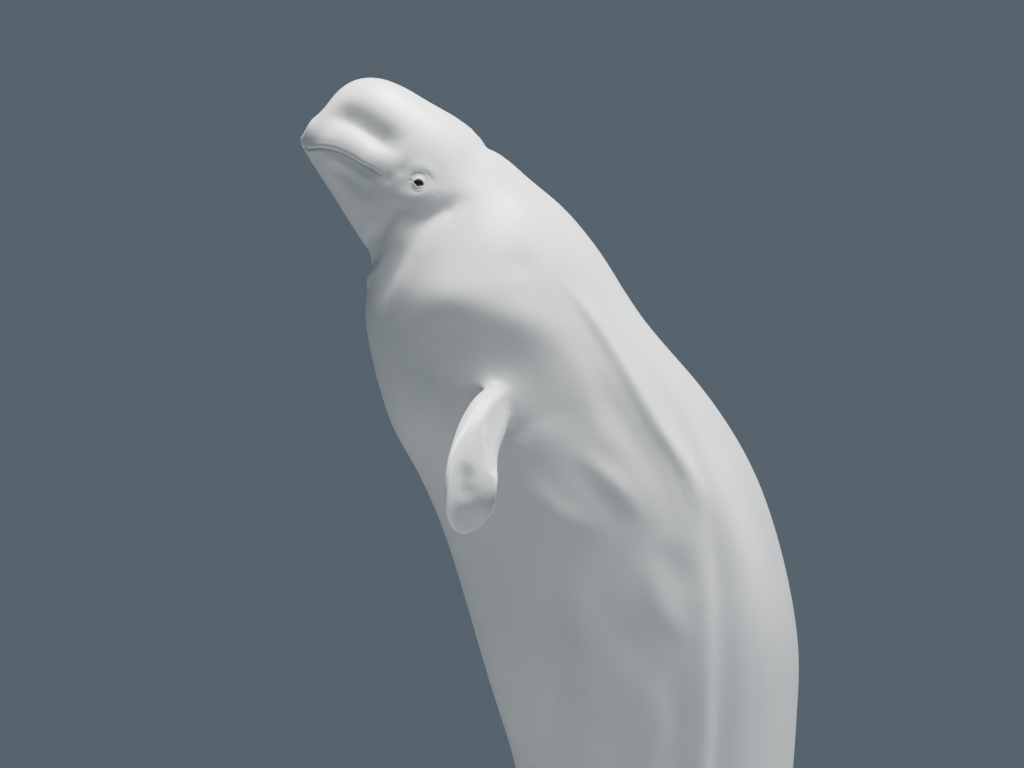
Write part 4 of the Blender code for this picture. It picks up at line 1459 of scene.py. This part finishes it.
@dataclass
class Whale:
    """The animal: one skin and two eyeballs."""

    lids: Lids = field(default_factory=Lids)
    eye_radius: float = 0.019
    cornea_angle: float = math.radians(34)
    cornea_rise: float = 0.0010
    smooth_angle: float = math.radians(60)

    def build(self) -> bpy.types.Object:
        """Model the skin and the eyes, and dress them.

        Returns:
            The skin.
        """
        skin = self.build_skin()
        for side in Side:
            self.build_eye(side)
        return skin

    def build_skin(self) -> bpy.types.Object:
        """Grow the cage, round it off, then work the folds into it.

        Returns:
            The skin.
        """
        skin = Cage().build()
        LOG.info("cage: %d faces", len(skin.data.polygons))
        apply_modifier(skin, "SUBSURF", levels=2, render_levels=2)
        clay = Clay(skin)
        clay.refine(FINE_ZONES, 2)
        clay.press(HEAD_FOLDS + NECK_FOLDS)
        clay.press(FLANK_FOLDS + FLIPPER_FOLDS + TAIL_FOLDS + BACK_NOTCHES)
        clay.soften(ROOT_SPOTS)
        clay.refine(FINER_ZONES, 1)
        clay.refine(FINEST_ZONES, 1)
        clay.raise_lids(self.lids)
        clay.press(FACE_DETAILS)
        activate(skin)
        bpy.ops.object.shade_smooth()
        skin.data.calc_loop_triangles()
        LOG.info("skin: %d triangles", len(skin.data.loop_triangles))
        WhaleSkin().dress(skin)
        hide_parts(*FLESH)
        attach(skin, BODY)
        return skin

    def build_eye(self, side: Side) -> None:
        """Model an eyeball with its cornea.

        Args:
            side: the animal's side that it is on.
        """
        centre = Vector((self.lids.centre.x, -self.lids.centre.y * side.value, self.lids.centre.z))
        deselect_all()
        bpy.ops.mesh.primitive_uv_sphere_add(segments=48, ring_count=32, radius=self.eye_radius, location=centre, rotation=(math.pi / 2, 0, 0))
        eye = bpy.context.active_object
        bury_place(eye)
        eye.name = eye.data.name = f"eyeball_{side.name.lower()}"
        outward = Vector((0, side.value, 0))
        with EditMode(eye) as edit:
            limit = math.cos(self.cornea_angle)
            edit.pick(Pick.VERTICES, lambda v: (v.co - centre).normalized().dot(outward) > limit)

            def raised(vertex: bmesh.types.BMVert) -> Vector:
                """A vertex's place on the cornea."""
                facing = (vertex.co - centre).normalized().dot(outward)
                return vertex.co + outward * (self.cornea_rise * ease((facing - limit) / (1 - limit)))

            edit.place(raised)
        activate(eye)
        bpy.ops.object.shade_smooth()
        WetEye().dress(eye)
        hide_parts(f"eye_{side.name.lower()}")
        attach(eye, BODY)
        LOG.info("%s: eyeball", eye.name)


@dataclass(frozen=True)
class Rod:
    """A steel tube of the stand. start is the height that its top is pushed up to the skin from."""

    name: str
    x: float
    radius: float
    start: float
    saddle_wall: float
    flange_radius: float
    bolt_circle: float
    bolts: int


RODS = (
    Rod("main", 0.060, 0.045, 0.450, 0.030, 0.130, 0.108, 8),
    Rod("tail", -0.190, 0.025, 0.200, 0.018, 0.085, 0.066, 6),
)


@dataclass
class Stand:
    """The display stand: a flat base, flanges, rods and saddles, bolts and weld beads."""

    base_half_length: float = 0.780
    base_half_width: float = 0.600
    base_height: float = 0.055
    base_power: float = 4.0
    base_points: int = 128
    base_bevel: float = 0.010
    flange_top: float = 0.0713
    flange_bevel: float = 0.003
    flange_step: float = 0.006
    round_points: int = 96
    saddle_rings: int = 4
    saddle_narrowing: float = 0.82
    saddle_depth: float = 0.011
    saddle_bevel: float = 0.003
    bolt_across: float = 0.0095
    bolt_height: float = 0.009

    def build(self, skin: bpy.types.Object) -> None:
        """Model the base, the rods and the small hardware.

        Args:
            skin: the whale's skin, which the rods reach up to.
        """
        self.build_base()
        for rod in RODS:
            self.build_flange(rod)
            self.build_tube(rod, skin)
            self.build_saddle(rod, skin)
            self.build_weld(rod)
            self.build_bolts(rod)

    def finish(self, piece: bpy.types.Object, name: str, finish: Finish, slot: Slot) -> None:
        """Name, smooth and dress a piece, and set it on the model.

        Args:
            piece: the piece.
            name: its name.
            finish: its finish.
            slot: its slot in the record; not used.
        """
        piece.name = piece.data.name = name
        bury_place(piece)
        bpy.ops.object.shade_smooth_by_angle(angle=math.radians(30))
        finish.dress(piece)
        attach(piece, BODY)
        LOG.info("%s: %d faces", name, len(piece.data.polygons))

    def build_base(self) -> None:
        """Model the base, a rounded slab with a bevelled top edge."""
        deselect_all()
        bpy.ops.mesh.primitive_circle_add(vertices=self.base_points, radius=self.base_half_width, fill_type="NGON")
        base = bpy.context.active_object
        with EditMode(base) as edit:
            edit.pick(Pick.VERTICES, lambda v: True)

            def on_outline(vertex: bmesh.types.BMVert) -> Vector:
                """A vertex's place on the slab's outline."""
                angle = math.atan2(vertex.co.y, vertex.co.x)
                x = self.base_half_length * bulge(math.cos(angle), self.base_power)
                y = self.base_half_width * bulge(math.sin(angle), self.base_power)
                return Vector((x, y, 0))

            edit.place(on_outline)
            bpy.ops.mesh.select_all(action="SELECT")
            bpy.ops.mesh.extrude_region_move(TRANSFORM_OT_translate={"value": (0, 0, self.base_height)})
            edit.pick(Pick.EDGES, lambda e: all(v.co.z > self.base_height - GAP for v in e.verts) and len(e.link_faces) == 2)
            bpy.ops.mesh.bevel(offset=self.base_bevel, segments=4, affect="EDGES")
            bpy.ops.mesh.select_all(action="SELECT")
            bpy.ops.mesh.normals_make_consistent(inside=False)
        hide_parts("stand_base")
        self.finish(base, "stand_base_slab", StandPaint(), Slot.BASE)

    def build_flange(self, rod: Rod) -> None:
        """Model the round plate that a rod stands on.

        Args:
            rod: the rod.
        """
        deselect_all()
        depth = self.flange_top - self.base_height - GAP
        bpy.ops.mesh.primitive_cylinder_add(
            vertices=self.round_points, radius=rod.flange_radius, depth=depth, location=(rod.x, 0, self.flange_top - depth / 2)
        )
        flange = bpy.context.active_object
        bury_place(flange)
        with EditMode(flange) as edit:
            edit.pick(Pick.EDGES, lambda e: all(v.co.z > self.flange_top - GAP for v in e.verts))
            bpy.ops.mesh.bevel(offset=self.flange_bevel, segments=3, affect="EDGES")
            edit.pick(Pick.FACES, lambda f: f.normal.z > 0.9 and len(f.verts) > 4)
            bpy.ops.mesh.inset(thickness=rod.flange_radius - rod.radius - self.flange_step)
            bpy.ops.transform.translate(value=(0, 0, self.flange_bevel / 3))
        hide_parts(f"stand_flange_{rod.name}")
        self.finish(flange, f"stand_plate_{rod.name}", BrushedSteel(), Slot.STEEL)

    def build_tube(self, rod: Rod, skin: bpy.types.Object) -> None:
        """Model a rod's tube, whose top follows the skin.

        Args:
            rod: the rod.
            skin: the whale's skin.
        """
        deselect_all()
        depth = rod.start - self.flange_top - GAP
        bpy.ops.mesh.primitive_cylinder_add(
            vertices=self.round_points, radius=rod.radius, depth=depth, location=(rod.x, 0, rod.start - depth / 2)
        )
        tube = bpy.context.active_object
        bury_place(tube)
        self.reach_skin(tube, skin, lambda v: v.co.z > rod.start - GAP)
        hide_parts(f"stand_rod_{rod.name}")
        self.finish(tube, f"stand_tube_{rod.name}", BrushedSteel(), Slot.STEEL)

    def build_saddle(self, rod: Rod, skin: bpy.types.Object) -> None:
        """Model the saddle at a rod's head, a plate that lies against the skin.

        Args:
            rod: the rod.
            skin: the whale's skin.
        """
        deselect_all()
        bpy.ops.mesh.primitive_circle_add(
            vertices=self.round_points, radius=rod.radius + rod.saddle_wall, fill_type="NGON", location=(rod.x, 0, rod.start)
        )
        saddle = bpy.context.active_object
        bury_place(saddle)
        with EditMode(saddle) as edit:
            bpy.ops.mesh.select_all(action="SELECT")
            for _ in range(self.saddle_rings):
                bpy.ops.mesh.inset(thickness=rod.saddle_wall / self.saddle_rings)
            for _ in range(self.saddle_rings - 1):
                bpy.ops.mesh.inset(thickness=rod.radius / self.saddle_rings)
            bpy.ops.mesh.poke()
        saddle.scale.y = self.saddle_narrowing
        bury_place(saddle)
        self.reach_skin(saddle, skin, lambda v: True)
        with EditMode(saddle) as edit:
            edit.pick(Pick.FACES, lambda f: True)
            bpy.ops.mesh.normals_make_consistent(inside=False)
            if sum(f.normal.z for f in edit.mesh.faces) > 0:
                bpy.ops.mesh.flip_normals()
        apply_modifier(saddle, "SOLIDIFY", thickness=self.saddle_depth, offset=1.0, use_even_offset=False)
        apply_modifier(saddle, "BEVEL", width=self.saddle_bevel, segments=3, limit_method="ANGLE", angle_limit=math.radians(50))
        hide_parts(f"stand_saddle_{rod.name}")
        self.finish(saddle, f"stand_cradle_{rod.name}", BrushedSteel(), Slot.STEEL)

    def reach_skin(self, piece: bpy.types.Object, skin: bpy.types.Object, test: Callable[[object], bool]) -> None:
        """Push some of a piece's vertices straight up to the skin.

        Args:
            piece: the piece.
            skin: the whale's skin.
            test: says whether a vertex is pushed.
        """
        group = piece.vertex_groups.new(name="up")
        group.add([v.index for v in piece.data.vertices if test(v)], 1.0, "REPLACE")
        apply_modifier(
            piece, "SHRINKWRAP", target=skin, wrap_method="PROJECT", use_project_z=True, vertex_group="up", offset=-GAP
        )
        piece.vertex_groups.clear()

    def build_weld(self, rod: Rod) -> None:
        """Model the weld bead round a rod's foot.

        Args:
            rod: the rod.
        """
        deselect_all()
        bpy.ops.mesh.primitive_torus_add(
            location=(rod.x, 0, self.flange_top + 0.002),
            major_radius=rod.radius + 0.004,
            minor_radius=0.007,
            major_segments=72,
            minor_segments=12,
        )
        bead = bpy.context.active_object
        bury_place(bead)
        with EditMode(bead) as edit:
            edit.pick(Pick.VERTICES, lambda v: True)

            def ripple(vertex: bmesh.types.BMVert) -> Vector:
                """A vertex's place on the bead's ripples."""
                angle = math.atan2(vertex.co.y, vertex.co.x - rod.x)
                out = Vector((math.cos(angle), math.sin(angle), 0))
                return vertex.co + out * (0.0008 * math.cos(36 * angle))

            edit.place(ripple)
        self.finish(bead, f"stand_weld_{rod.name}", BrushedSteel(), Slot.STEEL)

    def build_bolts(self, rod: Rod) -> None:
        """Model one bolt with its washer and copy it round a rod's flange.

        Args:
            rod: the rod.
        """
        deselect_all()
        bpy.ops.mesh.primitive_cylinder_add(vertices=32, radius=self.bolt_across * 1.45, depth=0.002, location=(0, 0, 0.001))
        washer = bpy.context.active_object
        bury_place(washer)
        apply_modifier(washer, "BEVEL", width=0.0004, segments=2)
        deselect_all()
        bpy.ops.mesh.primitive_cylinder_add(vertices=6, radius=self.bolt_across, depth=self.bolt_height, location=(0, 0, 0.002 + self.bolt_height / 2))
        head = bpy.context.active_object
        bury_place(head)
        with EditMode(head) as edit:
            edit.pick(Pick.FACES, lambda f: f.normal.z > 0.9)
            bpy.ops.mesh.inset(thickness=0.0012)
            edit.pick(Pick.FACES, lambda f: f.normal.z > 0.9 and f.calc_area() > self.bolt_across**2)
            bpy.ops.transform.translate(value=(0, 0, 0.0012))
        apply_modifier(head, "BEVEL", width=0.0005, segments=2)
        activate(head)
        washer.select_set(True)
        bpy.ops.object.join()
        bolt = bpy.context.active_object
        for number in range(rod.bolts):
            copy = bpy.data.objects.new(bolt.name, bolt.data.copy())
            bpy.context.scene.collection.objects.link(copy)
            angle = math.tau * (number + 0.5) / rod.bolts
            copy.location = (rod.x + rod.bolt_circle * math.cos(angle), rod.bolt_circle * math.sin(angle), self.flange_top)
            copy.rotation_euler = (0, 0, angle * 1.7)
            self.finish(copy, f"stand_bolt_{rod.name}_{number + 1}", BrushedSteel(), Slot.STEEL)
        bpy.data.objects.remove(bolt)


@dataclass(frozen=True)
class Lamp:
    """A soft square light aimed at the whale."""

    name: str
    place: tuple[float, float, float]
    energy: float
    size: float
    colour: tuple[float, float, float] = (1.0, 1.0, 1.0)


@dataclass
class Studio:
    """The floor, the lights and the camera at the photograph's viewing angle."""

    floor_radius: float = 40.0
    aim: Vector = Vector((-0.1, 0.0, 3.0))
    lens: float = 81.13
    sensor: float = 36.0
    camera_place: tuple[float, float, float] = (-0.2, -5.942, 2.265)
    camera_tilt: float = math.radians(98)
    sky: Colour = (0.42, 0.53, 0.64, 1)
    sky_strength: float = 0.24
    lamps: tuple[Lamp, ...] = (
        Lamp("key", (0.1, -0.3, 7.4), 740, 2.0, (1.0, 0.99, 0.97)),
        Lamp("back_light", (4.8, 0.2, 4.8), 200, 2.4, (0.94, 0.97, 1.0)),
        Lamp("fill", (1.8, -6.0, 2.6), 10, 3.0, (0.85, 0.93, 1.0)),
    )

    def build(self) -> None:
        """Set up the studio."""
        deselect_all()
        bpy.ops.mesh.primitive_circle_add(vertices=128, radius=self.floor_radius, fill_type="NGON")
        floor = bpy.context.active_object
        floor.name = "floor"
        FloorPaint().dress(floor)
        self.add_camera()
        for lamp in self.lamps:
            self.add_lamp(lamp)
        world = bpy.data.worlds.new("sky")
        world.use_nodes = True
        background = world.node_tree.nodes["Background"]
        background.inputs["Color"].default_value = self.sky
        background.inputs["Strength"].default_value = self.sky_strength
        bpy.context.scene.world = world
        LOG.info("studio: %d lamps", len(self.lamps))

    def add_camera(self) -> None:
        """Put the camera where the photograph was taken from."""
        data = bpy.data.cameras.new("camera")
        data.lens = self.lens
        data.sensor_width = self.sensor
        camera = bpy.data.objects.new("camera", data)
        bpy.context.scene.collection.objects.link(camera)
        camera.location = self.camera_place
        camera.rotation_euler = (self.camera_tilt, 0, 0)
        bpy.context.scene.camera = camera

    def add_lamp(self, lamp: Lamp) -> None:
        """Hang a lamp and aim it at the whale."""
        data = bpy.data.lights.new(lamp.name, "AREA")
        data.energy = lamp.energy
        data.size = lamp.size
        data.color = lamp.colour
        light = bpy.data.objects.new(lamp.name, data)
        bpy.context.scene.collection.objects.link(light)
        light.location = lamp.place
        light.rotation_euler = (self.aim - Vector(lamp.place)).to_track_quat("-Z", "Y").to_euler()


def main() -> None:
    """Model and dress every piece."""
    logging.basicConfig(level=logging.INFO, format="%(message)s")
    skin = Whale().build()
    Stand().build(skin)
    Studio().build()


if __name__ == "__main__":
    main()
